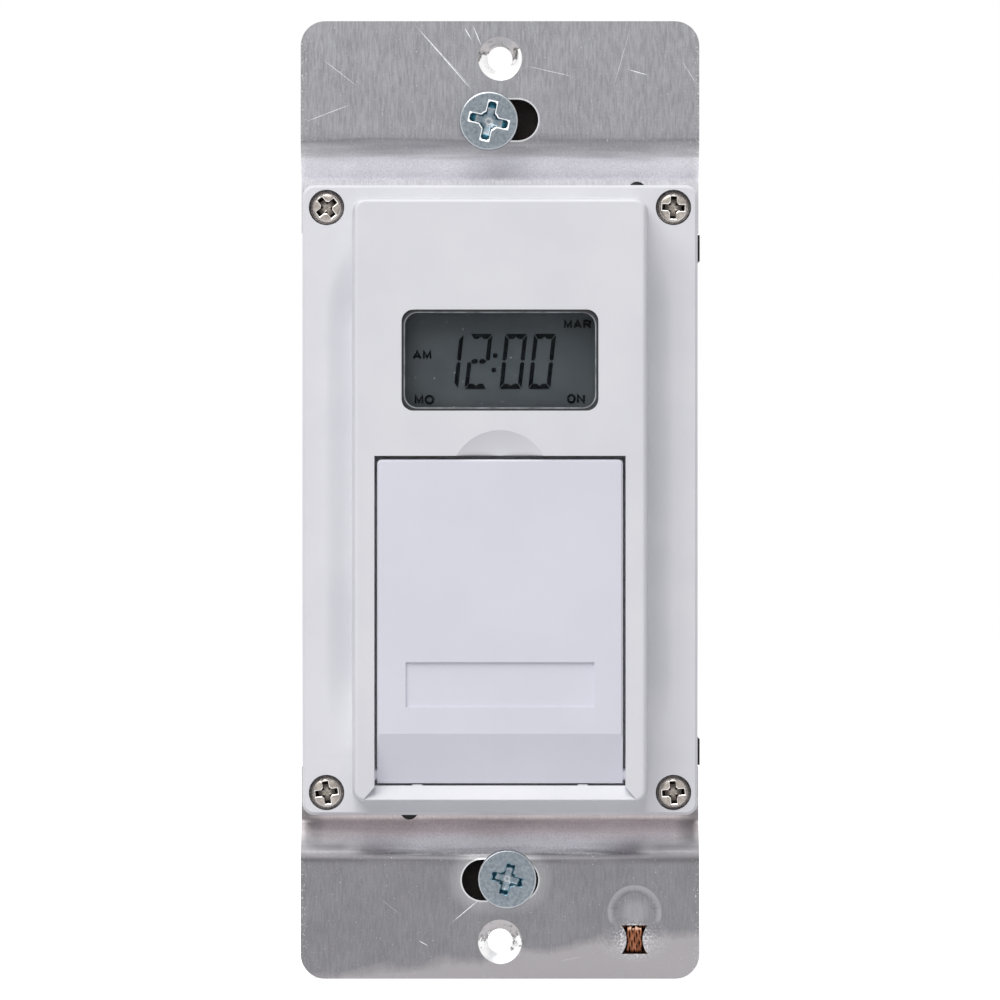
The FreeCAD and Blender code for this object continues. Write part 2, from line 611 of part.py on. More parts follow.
def runsAlong(edge, axis):
    # True for a straight edge along X, Y or Z.
    if edge.Curve.TypeId != "Part::GeomLine":
        return False
    return abs(abs(edge.Curve.Direction[axis]) - 1) < 1e-6


def edgeFront(edge):
    return -edge.CenterOfMass.y


def whollyAt(edge, front):
    return near(edgeFront(edge), front) and all(near(-end.Y, front) for end in edge.Vertexes)


def block(label, x, z, width, length, back, front):
    # A plain box centred on x and z, between two distances ahead of the wall plane.
    item = document.addObject("Part::Box", label)
    item.Label = label
    bind(item, "Length", width)
    bind(item, "Width", f"({front}) - ({back})")
    bind(item, "Height", length)
    bind(item, "Placement.Base.x", f"{x} - ({width}) / 2")
    bind(item, "Placement.Base.y", f"0 - ({front})")
    bind(item, "Placement.Base.z", f"{z} - ({length}) / 2")
    return item


def rod(label, x, z, diameter, back, front):
    # A plain cylinder that runs front to back.
    item = document.addObject("Part::Cylinder", label)
    item.Label = label
    item.Placement = FreeCAD.Placement(
        FreeCAD.Vector(0, 0, 0), FreeCAD.Rotation(FreeCAD.Vector(1, 0, 0), 90)
    )
    bind(item, "Radius", f"{diameter} / 2")
    bind(item, "Height", f"({front}) - ({back})")
    bind(item, "Placement.Base.x", x)
    bind(item, "Placement.Base.y", f"0 - ({back})")
    bind(item, "Placement.Base.z", z)
    return item


def bevelled(item, front):
    # The same piece with its front edges bevelled.
    document.recompute()
    label, size, top = item.Label, number("smallCorner"), number(front)
    item.Label = label + "_blank"
    bevel = document.addObject("Part::Chamfer", label + "_bevelled")
    bevel.Base = item
    picked = [place for place, edge in enumerate(item.Shape.Edges, start=1) if whollyAt(edge, top)]
    bevel.Edges = [(place, size, size) for place in picked]
    bevel.Label = label
    return bevel


def corners(x, z):
    return [(f"0 - {x}", f"0 - {z}"), (x, f"0 - {z}"), (x, z), (f"0 - {x}", z)]


def fourCircles(sketch, diameter):
    for x, z in corners("caseScrewX", "caseScrewZ"):
        circle(sketch, x, z, diameter)


def mountingStrap():
    body = newBody("mounting_strap")
    earBack, earFront = "0", "0 - strapThick"
    midBack, midFront = "strapSetBack", "strapSetBack - strapThick"
    half = "strapLength / 2"
    upper = [
        (earFront, half),
        (earFront, "bendOuter"),
        (midFront, "bendInner"),
    ]
    upperBack = [
        (midBack, "bendInner + bendLean"),
        (earBack, "bendOuter + bendLean"),
        (earBack, half),
    ]
    profile = upper + [(y, f"0 - ({z})") for y, z in reversed(upper)]
    profile += [(y, f"0 - ({z})") for y, z in reversed(upperBack)] + upperBack
    sidePad(body, "Sheet", lambda sketch: polygon(sketch, profile), "0", "strapWidth")

    lean, thick = number("bendLean"), number("strapThick")
    outer, inner, setBack = number("bendOuter"), number("bendInner"), number("strapSetBack")
    tight = [(0, outer + lean), (setBack - thick, inner)]
    wide = [(-thick, outer), (setBack, inner + lean)]

    def bends(places):
        return lambda edge: runsAlong(edge, 0) and any(
            near(edge.CenterOfMass.y, y) and near(abs(edge.CenterOfMass.z), z) for y, z in places
        )

    roundEdges(body, "InsideBends", bends(tight), "bendRadius")
    roundEdges(body, "OutsideBends", bends(wide), "bendRadius + strapThick")
    roundEdges(
        body,
        "EarCorners",
        lambda edge: runsAlong(edge, 1) and near(abs(edge.CenterOfMass.z), number("strapLength / 2")),
        "strapCorner",
    )

    def sideCuts(sketch):
        spare = "1"
        for side in ("1", "-1"):
            middle = f"{side} * (waistWidth / 2 + strapWidth / 2 + {spare}) / 2"
            width = f"(strapWidth / 2 + {spare} - waistWidth / 2)"
            rectangle(sketch, middle, "0", width, "waistLength")

    pocket(body, "SideCuts", sideCuts, "strapBack", "strapSeat")
    pocket(
        body,
        "Opening",
        lambda sketch: roundedRectangle(
            sketch, "0", "0", "openingWidth", "openingLength", "openingCorner"
        ),
        "strapBack",
        "strapSeat",
    )
    pocket(body, "ScrewClearance", lambda sketch: fourCircles(sketch, "caseScrewClear"), "strapBack", "strapSeat")

    def slots(sketch):
        for side in ("1", "-1"):
            obround(sketch, "0", f"{side} * slotSpacing / 2", "slotLength", "slotHeight")

    pocket(body, "BoxScrewSlots", slots, "0 - strapSetBack", "strapThick")

    def toolingHoles(sketch):
        circle(sketch, "pinholeTopX", "pinholeTopZ", "pinholeDiameter")
        circle(sketch, "0 - pinholeLowX", "0 - pinholeLowZ", "pinholeDiameter")

    pocket(body, "ToolingHoles", toolingHoles, "strapBack", "strapSeat")

    before = body.Shape.Volume
    plateSketch = newSketch(body, "PlateHolesSketch", "XZ_Plane", "strapThick")
    for side in ("1", "-1"):
        circle(plateSketch, "0", f"{side} * plateHoleSpacing / 2", "plateHoleDiameter")
    document.recompute()
    hole = body.newObject("PartDesign::Hole", "PlateHoles")
    hole.Profile = plateSketch
    document.recompute()
    hole.DepthType = "ThroughAll"
    hole.HoleCutType = "Countersink"
    hole.HoleCutCustomValues = True
    bind(hole, "Diameter", "plateHoleDiameter")
    bind(hole, "HoleCutDiameter", "plateDimpleDiameter")
    bind(hole, "HoleCutCountersinkAngle", "plateDimpleAngle")
    document.recompute()
    if not body.Shape.Volume < before - 1:
        raise RuntimeError("the wall plate holes cut nothing")

    def stakeWindow(sketch):
        # Straight ends joined by two sides that bow inwards to the waist.
        sag = "((stakeWidth - stakeWaist) / 2)"
        bow = f"((stakeHeight * stakeHeight / 4 + {sag} * {sag}) / (2 * {sag}))"
        half, high = number("stakeWidth / 2"), number("stakeHeight / 2")
        middle = FreeCAD.Vector(number("stakeX"), number("0 - stakeZ"), 0)
        waist = number("stakeWaist / 2")
        lower = Part.LineSegment(
            middle + FreeCAD.Vector(-half, -high, 0), middle + FreeCAD.Vector(half, -high, 0)
        )
        right = Part.Arc(
            middle + FreeCAD.Vector(half, -high, 0),
            middle + FreeCAD.Vector(waist, 0, 0),
            middle + FreeCAD.Vector(half, high, 0),
        )
        higher = Part.LineSegment(
            middle + FreeCAD.Vector(half, high, 0), middle + FreeCAD.Vector(-half, high, 0)
        )
        left = Part.Arc(
            middle + FreeCAD.Vector(-half, high, 0),
            middle + FreeCAD.Vector(-waist, 0, 0),
            middle + FreeCAD.Vector(-half, -high, 0),
        )
        for piece in (lower, right, higher, left):
            sketch.addGeometry(piece)
        # An arc keeps its first end at the smaller angle, so each of these two starts at its top.
        sketch.addConstraint(Sketcher.Constraint("Coincident", 0, 2, 1, 2))
        sketch.addConstraint(Sketcher.Constraint("Coincident", 1, 1, 2, 1))
        sketch.addConstraint(Sketcher.Constraint("Coincident", 2, 2, 3, 2))
        sketch.addConstraint(Sketcher.Constraint("Coincident", 3, 1, 0, 1))
        pinPoint(sketch, 0, 1, "stakeX - stakeWidth / 2", "0 - stakeZ - stakeHeight / 2")
        pinPoint(sketch, 0, 2, "stakeX + stakeWidth / 2", "0 - stakeZ - stakeHeight / 2")
        pinPoint(sketch, 2, 1, "stakeX + stakeWidth / 2", "stakeHeight / 2 - stakeZ")
        pinPoint(sketch, 2, 2, "stakeX - stakeWidth / 2", "stakeHeight / 2 - stakeZ")
        datum(sketch, "Radius", (1,), bow)
        datum(sketch, "Radius", (3,), bow)

    pocket(body, "StakeWindow", stakeWindow, "0", "strapThick")

    def arch(sketch):
        # A half ring that stands on two short straight legs.
        x, z = number("stakeX"), number("archRise - stakeZ")
        out, into = number("archRadius"), number("archRadius - archWide")
        middle = FreeCAD.Vector(x, z, 0)
        for radius in (out, into):
            ring = Part.Circle(middle, FreeCAD.Vector(0, 0, 1), radius)
            sketch.addGeometry(Part.ArcOfCircle(ring, 0, math.pi))
        for side, far, close in ((0, out, into), (1, -out, -into)):
            sketch.addGeometry(
                Part.LineSegment(middle + FreeCAD.Vector(far, 0, 0), middle + FreeCAD.Vector(close, 0, 0))
            )
            sketch.addConstraint(Sketcher.Constraint("Coincident", 0, 1 + side, 2 + side, 1))
            sketch.addConstraint(Sketcher.Constraint("Coincident", 1, 1 + side, 2 + side, 2))
            sketch.addConstraint(Sketcher.Constraint("Horizontal", 2 + side))
        sketch.addConstraint(Sketcher.Constraint("Coincident", 0, 3, 1, 3))
        pinPoint(sketch, 0, 3, "stakeX", "archRise - stakeZ")
        sketch.addConstraint(Sketcher.Constraint("PointOnObject", 0, 3, 2))
        datum(sketch, "Radius", (0,), "archRadius")
        datum(sketch, "Radius", (1,), "archRadius - archWide")

    pocket(body, "StakeArch", arch, "strapThick - archDeep", "strapThick")
    return body


def frontHousing():
    body = newBody("front_housing")
    pad(
        body,
        "Flange",
        lambda sketch: roundedRectangle(sketch, "0", "0", "flangeWidth", "flangeLength", "flangeCorner"),
        "strapSeat",
        "flangeFront",
    )
    flangeFront = number("flangeFront")
    bevelEdges(body, "FlangeEdge", lambda edge: whollyAt(edge, flangeFront), "flangeEdge")

    # Each side cove is a long hollow with ball ends, deepest beside the raised face.
    coveFront = "(flangeFront + coveRaise)"
    coveHalf = "(coveLength / 2 - sqrt(coveRadius * coveRadius - coveRaise * coveRaise))"
    for side, word in (("1", "Right"), ("-1", "Left")):
        x = f"{side} * coveCentreX"
        primitive(
            body,
            "SubtractiveCylinder",
            word + "Cove",
            "XY_Plane",
            (x, f"0 - {coveFront}", f"0 - {coveHalf}"),
            {"Radius": "coveRadius", "Height": f"2 * {coveHalf}"},
        )
        for end, place in (("1", "Upper"), ("-1", "Lower")):
            primitive(
                body,
                "SubtractiveSphere",
                word + place + "CoveEnd",
                "XY_Plane",
                (x, f"0 - {coveFront}", f"{end} * {coveHalf}"),
                {"Radius": "coveRadius"},
            )

    pad(
        body,
        "Face",
        lambda sketch: roundedRectangle(sketch, "0", "0", "faceBaseWidth", "faceBaseLength", "faceCorner"),
        "0",
        "faceFront",
        "0 - faceDraft",
    )
    faceFront = number("faceFront")
    roundEdges(body, "FaceEdge", lambda edge: whollyAt(edge, faceFront), "faceEdge")

    pocket(
        body,
        "Cavity",
        lambda sketch: rectangle(sketch, "0", "0", "cavityWidth", "cavityLength"),
        "strapSeat",
        "deckBack",
    )
    pocket(
        body,
        "DisplayRoom",
        lambda sketch: rectangle(
            sketch,
            "0",
            "(displayRoomLow + cavityLength / 2) / 2",
            "cavityWidth",
            "cavityLength / 2 - displayRoomLow",
        ),
        "strapSeat",
        "roofBack",
    )
    pocket(
        body,
        "WindowOpening",
        lambda sketch: roundedRectangle(
            sketch, "0", "windowZ", "windowWidth", "windowHeight", "windowCorner"
        ),
        "roofBack",
        "faceFront",
    )
    pocket(
        body,
        "DoorPocket",
        lambda sketch: rectangle(
            sketch, "0", "(pocketTop - pocketLow) / 2", "pocketWidth", "pocketTop + pocketLow"
        ),
        "deckFront",
        "faceFront",
    )
    primitive(
        body,
        "SubtractiveSphere",
        "ThumbScoop",
        "XZ_Plane",
        ("0", "scoopZ", "faceFront + scoopRaise"),
        {"Radius": "scoopRadius"},
    )
    # The bevel below the door falls away from the face up to the pocket, with mitred ends.
    spare = "0.2"
    primitive(
        body,
        "SubtractiveWedge",
        "LowerBevel",
        "XZ_Plane",
        ("0", "0", "0"),
        {
            "Ymin": "0 - pocketLow - bevelRise",
            "Ymax": f"{spare} - pocketLow",
            "Xmin": "0 - bevelWidth / 2",
            "Xmax": "bevelWidth / 2",
            "X2min": "bevelMitre - bevelWidth / 2",
            "X2max": "bevelWidth / 2 - bevelMitre",
            "Zmin": "faceFront",
            "Zmax": "faceFront + 1",
            "Z2min": "faceFront - bevelDeep",
            "Z2max": "faceFront + 1",
        },
    )
    sidePocket(
        body,
        "HingeHoles",
        lambda sketch: circle(
            sketch, "0 - hingeFront", "0 - hingeZ", "hingePinDiameter + 2 * hingePlay"
        ),
        "0",
        "doorWidth + 2 * (hingePinLong + hingePinRoom)",
    )

    def hingeTabs(sketch):
        for side in ("1", "-1"):
            rectangle(sketch, f"{side} * tabX", "tabHigh / 2 - pocketLow", "tabWide", "tabHigh")

    pad(body, "HingeTabs", hingeTabs, "deckFront", "doorLip")

    opening = pocket(
        body,
        "KeyOpening",
        lambda sketch: rectangle(
            sketch, "keyX", "0 - keyTopZ", "keyWidth + 2 * keyPlay", "keyHeight + 2 * keyPlay"
        ),
        "deckBack",
        "deckFront",
    )
    before = body.Shape.Volume
    openings = body.newObject("PartDesign::LinearPattern", "KeyOpenings")
    openings.Originals = [opening]
    openings.Direction = (opening.Profile[0], ["V_Axis"])
    openings.Reversed = True
    openings.Occurrences = len(keyNames)
    bind(openings, "Length", f"keyPitch * {len(keyNames) - 1}")
    body.Tip = openings
    document.recompute()
    if not body.Shape.Volume < before - 1:
        raise RuntimeError("the key openings aren't repeated")

    wellWidth = "(trayWidth + 2 * trayPlay)"
    wellLength = "(trayLength + 2 * trayPlay)"
    pad(
        body,
        "BatteryWell",
        lambda sketch: rectangle(
            sketch, "trayX", "0 - cellZ", f"{wellWidth} + 2 * wellWall", f"{wellLength} + 2 * wellWall"
        ),
        "wellBack - wellFloor",
        "deckBack",
    )
    pocket(
        body,
        "BatteryRoom",
        lambda sketch: rectangle(sketch, "trayX", "0 - cellZ", wellWidth, wellLength),
        "wellBack",
        "deckFront",
    )

    def glassRib(sketch):
        # The rib keeps the display glass from moving up. It stands one wall above the glass.
        low = "windowZ + glassHeight / 2 + glassPlay"
        rectangle(sketch, "0", f"{low} + glassRib / 2", "stripLength", "glassRib")

    pad(body, "GlassRib", glassRib, "glassBack", "roofBack")

    def posts(side, places):
        def draw(sketch):
            for x, z in places:
                rectangle(sketch, x, z, side, side)

        return draw

    upper = [("postX", "postTopZ"), ("0 - postX", "postTopZ")]
    lower = [("postX", "0 - postLowZ")]
    pad(body, "UpperPosts", posts("postSide", upper), "boardFront", "roofBack")
    pad(body, "LowerPost", posts("postSide", lower), "boardFront", "deckBack")
    pad(body, "PostPins", posts("postPinSide", upper + lower), "boardBack", "boardFront")

    before = body.Shape.Volume
    screwSketch = newSketch(body, "CaseScrewHolesSketch", "XZ_Plane", "flangeFront")
    fourCircles(screwSketch, "caseScrewClear")
    document.recompute()
    hole = body.newObject("PartDesign::Hole", "CaseScrewHoles")
    hole.Profile = screwSketch
    document.recompute()
    hole.DepthType = "ThroughAll"
    hole.HoleCutType = "Counterbore"
    hole.HoleCutCustomValues = True
    bind(hole, "Diameter", "caseScrewClear")
    bind(hole, "HoleCutDiameter", "counterboreDiameter")
    bind(hole, "HoleCutDepth", "counterboreDeep")
    document.recompute()
    if not body.Shape.Volume < before - 1:
        raise RuntimeError("the case screw holes cut nothing")
    return body


def displayWindow():
    body = newBody("display_window")
    pad(
        body,
        "Lens",
        lambda sketch: roundedRectangle(
            sketch,
            "0",
            "windowZ",
            "windowWidth - 2 * windowPlay",
            "windowHeight - 2 * windowPlay",
            "windowCorner - windowPlay",
        ),
        "roofBack",
        "faceFront - windowSunk",
    )
    pad(
        body,
        "LensFlange",
        lambda sketch: rectangle(
            sketch,
            "0",
            "windowZ",
            "windowWidth + 2 * windowFlange",
            "windowHeight + 2 * windowFlange",
        ),
        "lensBack",
        "roofBack",
    )
    return body


def lcdPanel():
    body = newBody("lcd_panel")
    pad(
        body,
        "FrontGlass",
        lambda sketch: rectangle(sketch, "0", "windowZ", "glassWidth", "glassHeight"),
        "glassMiddle",
        "lensBack",
    )
    pad(
        body,
        "RearGlass",
        lambda sketch: rectangle(sketch, "0", "windowZ", "glassWidth", "rearGlassHeight"),
        "glassBack",
        "glassMiddle",
    )
    return body


def connectorStrips():
    # Each strip stands on the control board and meets the ledge of the front glass.
    ledge = "(glassHeight + rearGlassHeight) / 4"
    return [
        block(
            label,
            "0",
            f"(windowZ + {side} * {ledge})",
            "stripLength",
            "stripThick",
            "boardFront",
            "glassMiddle",
        )
        for label, side in (("lcd_connector_upper", "1"), ("lcd_connector_lower", "-1"))
    ]


def controlBoard():
    body = newBody("control_board")
    half = "boardWidth / 2"
    outline = [
        (f"0 - {half}", "boardYokeZ"),
        ("boardArmX", "boardYokeZ"),
        ("boardArmX", "0 - boardLow"),
        (half, "0 - boardLow"),
        (half, "boardTop"),
        (f"0 - {half}", "boardTop"),
    ]
    pad(body, "Board", lambda sketch: polygon(sketch, outline), "boardBack", "boardFront")

    def pinHoles(sketch):
        side = "postPinSide + 2 * postPinPlay"
        rectangle(sketch, "postX", "postTopZ", side, side)
        rectangle(sketch, "0 - postX", "postTopZ", side, side)
        rectangle(sketch, "postX", "0 - postLowZ", side, side)

    pocket(body, "PinHoles", pinHoles, "boardBack", "boardFront")
    return body


def boardParts():
    chip = block(
        "microcontroller", "chipX", "chipZ", "chipSide", "chipSide", "boardFront", "boardFront + chipHigh"
    )
    crystal = document.addObject("Part::Cylinder", "clock_crystal")
    crystal.Label = "clock_crystal"
    crystal.Placement = FreeCAD.Placement(
        FreeCAD.Vector(0, 0, 0), FreeCAD.Rotation(FreeCAD.Vector(0, 1, 0), 90)
    )
    bind(crystal, "Radius", "crystalDiameter / 2")
    bind(crystal, "Height", "crystalLength")
    bind(crystal, "Placement.Base.x", "crystalX")
    bind(crystal, "Placement.Base.y", "0 - boardFront - crystalDiameter / 2")
    bind(crystal, "Placement.Base.z", "chipZ")
    return [chip, crystal]


def accessDoor():
    body = newBody("access_door")
    # Side view: a flat sheet that turns back towards the hinge at its lower edge.
    profile = [
        ("doorFront", "doorTop"),
        ("doorFront", "0 - doorBreak"),
        ("doorLip", "0 - doorLow"),
        ("doorLip - doorLipThick", "0 - doorLow"),
        ("hingeFront - hingePinDiameter / 2", "0 - hingeZ"),
        ("hingeFront - hingePinDiameter / 2", "hingePinDiameter / 2 - hingeZ"),
        ("doorBack", "0 - doorBreak"),
        ("doorBack", "doorTop"),
    ]
    sidePad(
        body,
        "Sheet",
        lambda sketch: polygon(sketch, [(f"0 - ({ahead})", z) for ahead, z in profile]),
        "0",
        "doorWidth",
    )
    roundEdges(
        body,
        "TopCorners",
        lambda edge: runsAlong(edge, 1) and near(edge.CenterOfMass.z, number("doorTop")),
        "smallCorner",
    )
    bevelEdges(
        body,
        "UpperEdge",
        lambda edge: runsAlong(edge, 0)
        and near(edge.CenterOfMass.z, number("doorTop"))
        and near(edgeFront(edge), number("doorFront")),
        "faceEdge / 2",
    )

    def skirt(sketch):
        # A three-sided skirt stiffens the sheet at its sides and its upper edge.
        half, thick = "doorWidth / 2", "doorSkirt"
        low, high = "0 - doorBreak", "doorTop - smallCorner"
        polygon(
            sketch,
            [
                (f"0 - {half}", low),
                (f"0 - {half} + {thick}", low),
                (f"0 - {half} + {thick}", f"{high} - {thick}"),
                (f"{half} - {thick}", f"{high} - {thick}"),
                (f"{half} - {thick}", low),
                (half, low),
                (half, high),
                (f"0 - {half}", high),
            ],
        )

    pad(body, "Skirt", skirt, "doorSkirtBack", "doorBack + doorThick / 2")
    pad(
        body,
        "PressNub",
        lambda sketch: rectangle(sketch, "keyX", "0 - keyTopZ", "pressNubSide", "pressNubSide"),
        "pressNubBack",
        "doorBack + doorThick / 2",
    )
    sidePad(
        body,
        "HingePins",
        lambda sketch: circle(sketch, "0 - hingeFront", "0 - hingeZ", "hingePinDiameter"),
        "0",
        "doorWidth + 2 * hingePinLong",
    )
    pocket(
        body,
        "BadgeRecess",
        lambda sketch: rectangle(sketch, "0", "0 - badgeZ", "badgeWidth", "badgeHeight"),
        "doorFront - badgeDeep",
        "doorFront",
    )
    return body


def keys():
    made = []
    for place, name in enumerate(keyNames):
        z = f"(0 - keyTopZ - {place} * keyPitch)"
        button = newBody(name + "_button")
        pad(
            button,
            "Cap",
            lambda sketch: rectangle(sketch, "keyX", z, "keyWidth", "keyHeight"),
            "keyFlangeFront",
            "keyTop",
        )
        top = number("keyTop")
        bevelEdges(button, "Crown", lambda edge: whollyAt(edge, top), "keyCrown")
        pad(
            button,
            "Flange",
            lambda sketch: rectangle(
                sketch,
                "keyX",
                z,
                "keyWidth + 2 * (keyPlay + keyFlange)",
                "keyHeight + 2 * (keyPlay + keyFlange)",
            ),
            "keyFlangeBack",
            "keyFlangeFront",
        )

        switch = newBody(name + "_switch")
        pad(
            switch,
            "Case",
            lambda sketch: rectangle(sketch, "keyX", z, "switchSide", "switchSide"),
            "boardFront",
            "switchFront",
        )
        pocket(
            switch,
            "Bore",
            lambda sketch: rectangle(
                sketch, "keyX", z, "plungerSide + 2 * keyPlay", "plungerSide + 2 * keyPlay"
            ),
            "switchFront - 2 * plungerSunk",
            "switchFront",
        )
        plunger = block(
            name + "_plunger",
            "keyX",
            z,
            "plungerSide",
            "plungerSide",
            "(switchFront - plungerSunk)",
            "keyFlangeBack",
        )
        made += [button, switch, plunger]
    return made


def batteryTray():
    body = newBody("battery_tray")
    pad(
        body,
        "Block",
        lambda sketch: rectangle(sketch, "trayX", "0 - cellZ", "trayWidth", "trayLength"),
        "cellAxis",
        "deckFront",
    )
    primitive(
        body,
        "SubtractiveCylinder",
        "Cradle",
        "XY_Plane",
        ("trayX", "0 - cellAxis", "0 - cellZ - cellLength / 2 - cellEndPlay"),
        {"Radius": "cellDiameter / 2 + cellPlay", "Height": "cellLength + 2 * cellEndPlay"},
    )

    def contactSlots(sketch):
        for side in ("1", "-1"):
            middle = "(trayLength - trayEnd) / 2"
            rectangle(
                sketch,
                "trayX",
                f"({side} * {middle} - cellZ)",
                "contactWidth + 4 * trayPlay",
                "trayEnd + 2 * trayPlay",
            )

    pocket(body, "ContactSlots", contactSlots, "cellAxis", "contactSlotFront")
    pocket(
        body,
        "FingerGroove",
        lambda sketch: obround(
            sketch, "trayX", "trayLength / 2 - cellZ - 2 * trayEnd", "fingerGrooveLong", "fingerGroove"
        ),
        "deckFront - fingerGrooveDeep",
        "deckFront",
    )
    return body


def batteryCell():
    body = newBody("battery_cell")
    low = "0 - cellZ - cellLength / 2"
    place = ("trayX", "0 - cellAxis", low)
    primitive(
        body,
        "AdditiveCylinder",
        "Can",
        "XY_Plane",
        place,
        {"Radius": "cellDiameter / 2", "Height": "cellLength - cellNub"},
    )
    primitive(
        body,
        "AdditiveCylinder",
        "Nub",
        "XY_Plane",
        place,
        {"Radius": "cellNubDiameter / 2", "Height": "cellLength"},
    )
    return body


def batteryContacts():
    # Each contact is a sprung leaf against the end of the well, bowed towards the cell.
    made = []
    reach = "(trayLength / 2 + trayPlay - cellLength / 2)"
    for label, side in (("battery_contact_upper", "1"), ("battery_contact_lower", "-1")):
        body = newBody(label)
        wall = f"({side} * (trayLength / 2 + trayPlay) - cellZ)"
        middle = "(cellAxis + contactBow / 4)"
        lift = f"({reach} - contactGap)"
        steps = [
            (f"{middle} - contactHeight / 2", "0"),
            (f"{middle} - contactBow / 2 - contactThick / 2", "0"),
            (f"{middle} - contactBow / 4 - contactThick / 2", f"{lift} - contactThick"),
            (f"{middle} + contactBow / 4 + contactThick / 2", f"{lift} - contactThick"),
            (f"{middle} + contactBow / 2 + contactThick / 2", "0"),
            (f"{middle} + contactHeight / 2", "0"),
            (f"{middle} + contactHeight / 2", "contactThick"),
            (f"{middle} + contactBow / 2 + contactThick", "contactThick"),
            (f"{middle} + contactBow / 4", lift),
            (f"{middle} - contactBow / 4", lift),
            (f"{middle} - contactBow / 2 - contactThick", "contactThick"),
            (f"{middle} - contactHeight / 2", "contactThick"),
        ]
        profile = [(f"0 - ({ahead})", f"{wall} - {side} * ({high})") for ahead, high in steps]
        sidePad(body, "Leaf", lambda sketch: polygon(sketch, profile), "trayX", "contactWidth")
        made.append(body)
    return made


def rearHousing():
    body = newBody("rear_housing")
    pad(
        body,
        "Rim",
        lambda sketch: roundedRectangle(sketch, "0", "0", "rearWidth", "rearLength", "rearCorner"),
        "rearStepFront",
        "strapBack",
    )
    pad(
        body,
        "DeepStage",
        lambda sketch: roundedRectangle(sketch, "0", "0", "rearInWidth", "rearInLength", "rearCorner"),
        "rearDeepBack",
        "rearStepFront",
    )
    back = number("rearDeepBack")
    bevelEdges(body, "BackEdge", lambda edge: whollyAt(edge, back), "rearEdge")
    pocket(
        body,
        "RimRoom",
        lambda sketch: rectangle(
            sketch, "0", "0", "rearWidth - 2 * rearWall", "rearLength - 2 * rearWall"
        ),
        "rearStepFront + rearWall",
        "strapBack",
    )
    pocket(
        body,
        "DeepRoom",
        lambda sketch: rectangle(
            sketch, "0", "0", "rearInWidth - 2 * rearWall", "rearInLength - 2 * rearWall"
        ),
        "rearDeepBack + rearWall",
        "strapBack",
    )
    pad(body, "Bosses", lambda sketch: fourCircles(sketch, "bossDiameter"), "rearStepFront", "strapBack")
    pocket(
        body,
        "BossHoles",
        lambda sketch: fourCircles(sketch, "caseScrewShank + 2 * caseScrewPlay"),
        "bossHoleEnd",
        "strapBack",
    )

    def clips(sketch):
        for reach, side in (("clipReach", "1"), ("clipReachLeft", "-1")):
            for end in ("1", "-1"):
                inner = "(waistWidth / 2 + clipPlay)"
                middle = f"{side} * ({reach} + {inner}) / 2"
                rectangle(sketch, middle, f"{end} * clipZ", f"{reach} - {inner}", "clipLength")

    pad(body, "SideClips", clips, "rearStepFront", "strapSeat - clipGap")

    def exits(sketch):
        for place in (-1.5, -0.5, 0.5, 1.5):
            circle(sketch, f"({place}) * leadPitch", "0 - leadExitZ", "leadExit")

    pocket(body, "LeadExits", exits, "rearDeepBack", "rearDeepBack + rearWall")

    def rails(sketch):
        for side in ("1", "-1"):
            rectangle(
                sketch, f"{side} * (powerWidth - ribWide) / 2", "0", "ribWide", "ribLength"
            )

    pad(body, "BoardRails", rails, "rearDeepBack + rearWall", "0 - powerBack")
    return body


def powerParts():
    front = "powerFront"
    board = block("power_board", "0", "0", "powerWidth", "powerLength", "(0 - powerBack)", front)
    relay = block(
        "relay", "relayX", "relayZ", "relayWidth", "relayLength", front, f"{front} + relayHigh"
    )
    film = block(
        "film_capacitor", "filmX", "(0 - filmZ)", "filmWidth", "filmLength", front, f"{front} + filmHigh"
    )
    rectifier = block(
        "rectifier",
        "rectifierX",
        "(0 - rectifierZ)",
        "rectifierSide",
        "rectifierLength",
        front,
        f"{front} + rectifierHigh",
    )
    varistor = rod(
        "varistor",
        "varistorX",
        "0 - varistorZ",
        "varistorDiameter",
        front,
        f"{front} + varistorThick",
    )
    fuse = document.addObject("Part::Cylinder", "fuse_resistor")
    fuse.Label = "fuse_resistor"
    bind(fuse, "Radius", "fuseDiameter / 2")
    bind(fuse, "Height", "fuseLength")
    bind(fuse, "Placement.Base.x", "fuseX")
    bind(fuse, "Placement.Base.y", f"0 - {front} - fuseDiameter / 2")
    bind(fuse, "Placement.Base.z", "0 - fuseZ - fuseLength / 2")

    cases = [bevelled(relay, f"{front} + relayHigh"), bevelled(film, f"{front} + filmHigh")]
    return [board, rectifier, varistor, fuse, *cases]


def supplyCapacitors():
    made = []
    for place in range(2):
        label = f"supply_capacitor_{place + 1}"
        z = f"canTopZ - {place} * canPitch"
        made.append(rod(label, "canX", z, "canDiameter", "powerFront", "(powerFront + canHigh)"))
    return made


def boardHeader():
    body = newBody("board_header")
    pad(
        body,
        "Base",
        lambda sketch: rectangle(
            sketch, "headerX", "0 - headerZ", "headerPitch", f"{headerPins} * headerPitch"
        ),
        "powerFront",
        "powerFront + headerHigh",
    )

    def pins(sketch):
        for place in range(headerPins):
            z = f"({place - (headerPins - 1) / 2}) * headerPitch - headerZ"
            rectangle(sketch, "headerX", z, "headerPin", "headerPin")

    pad(body, "Pins", pins, "powerFront", "boardBack")
    return body


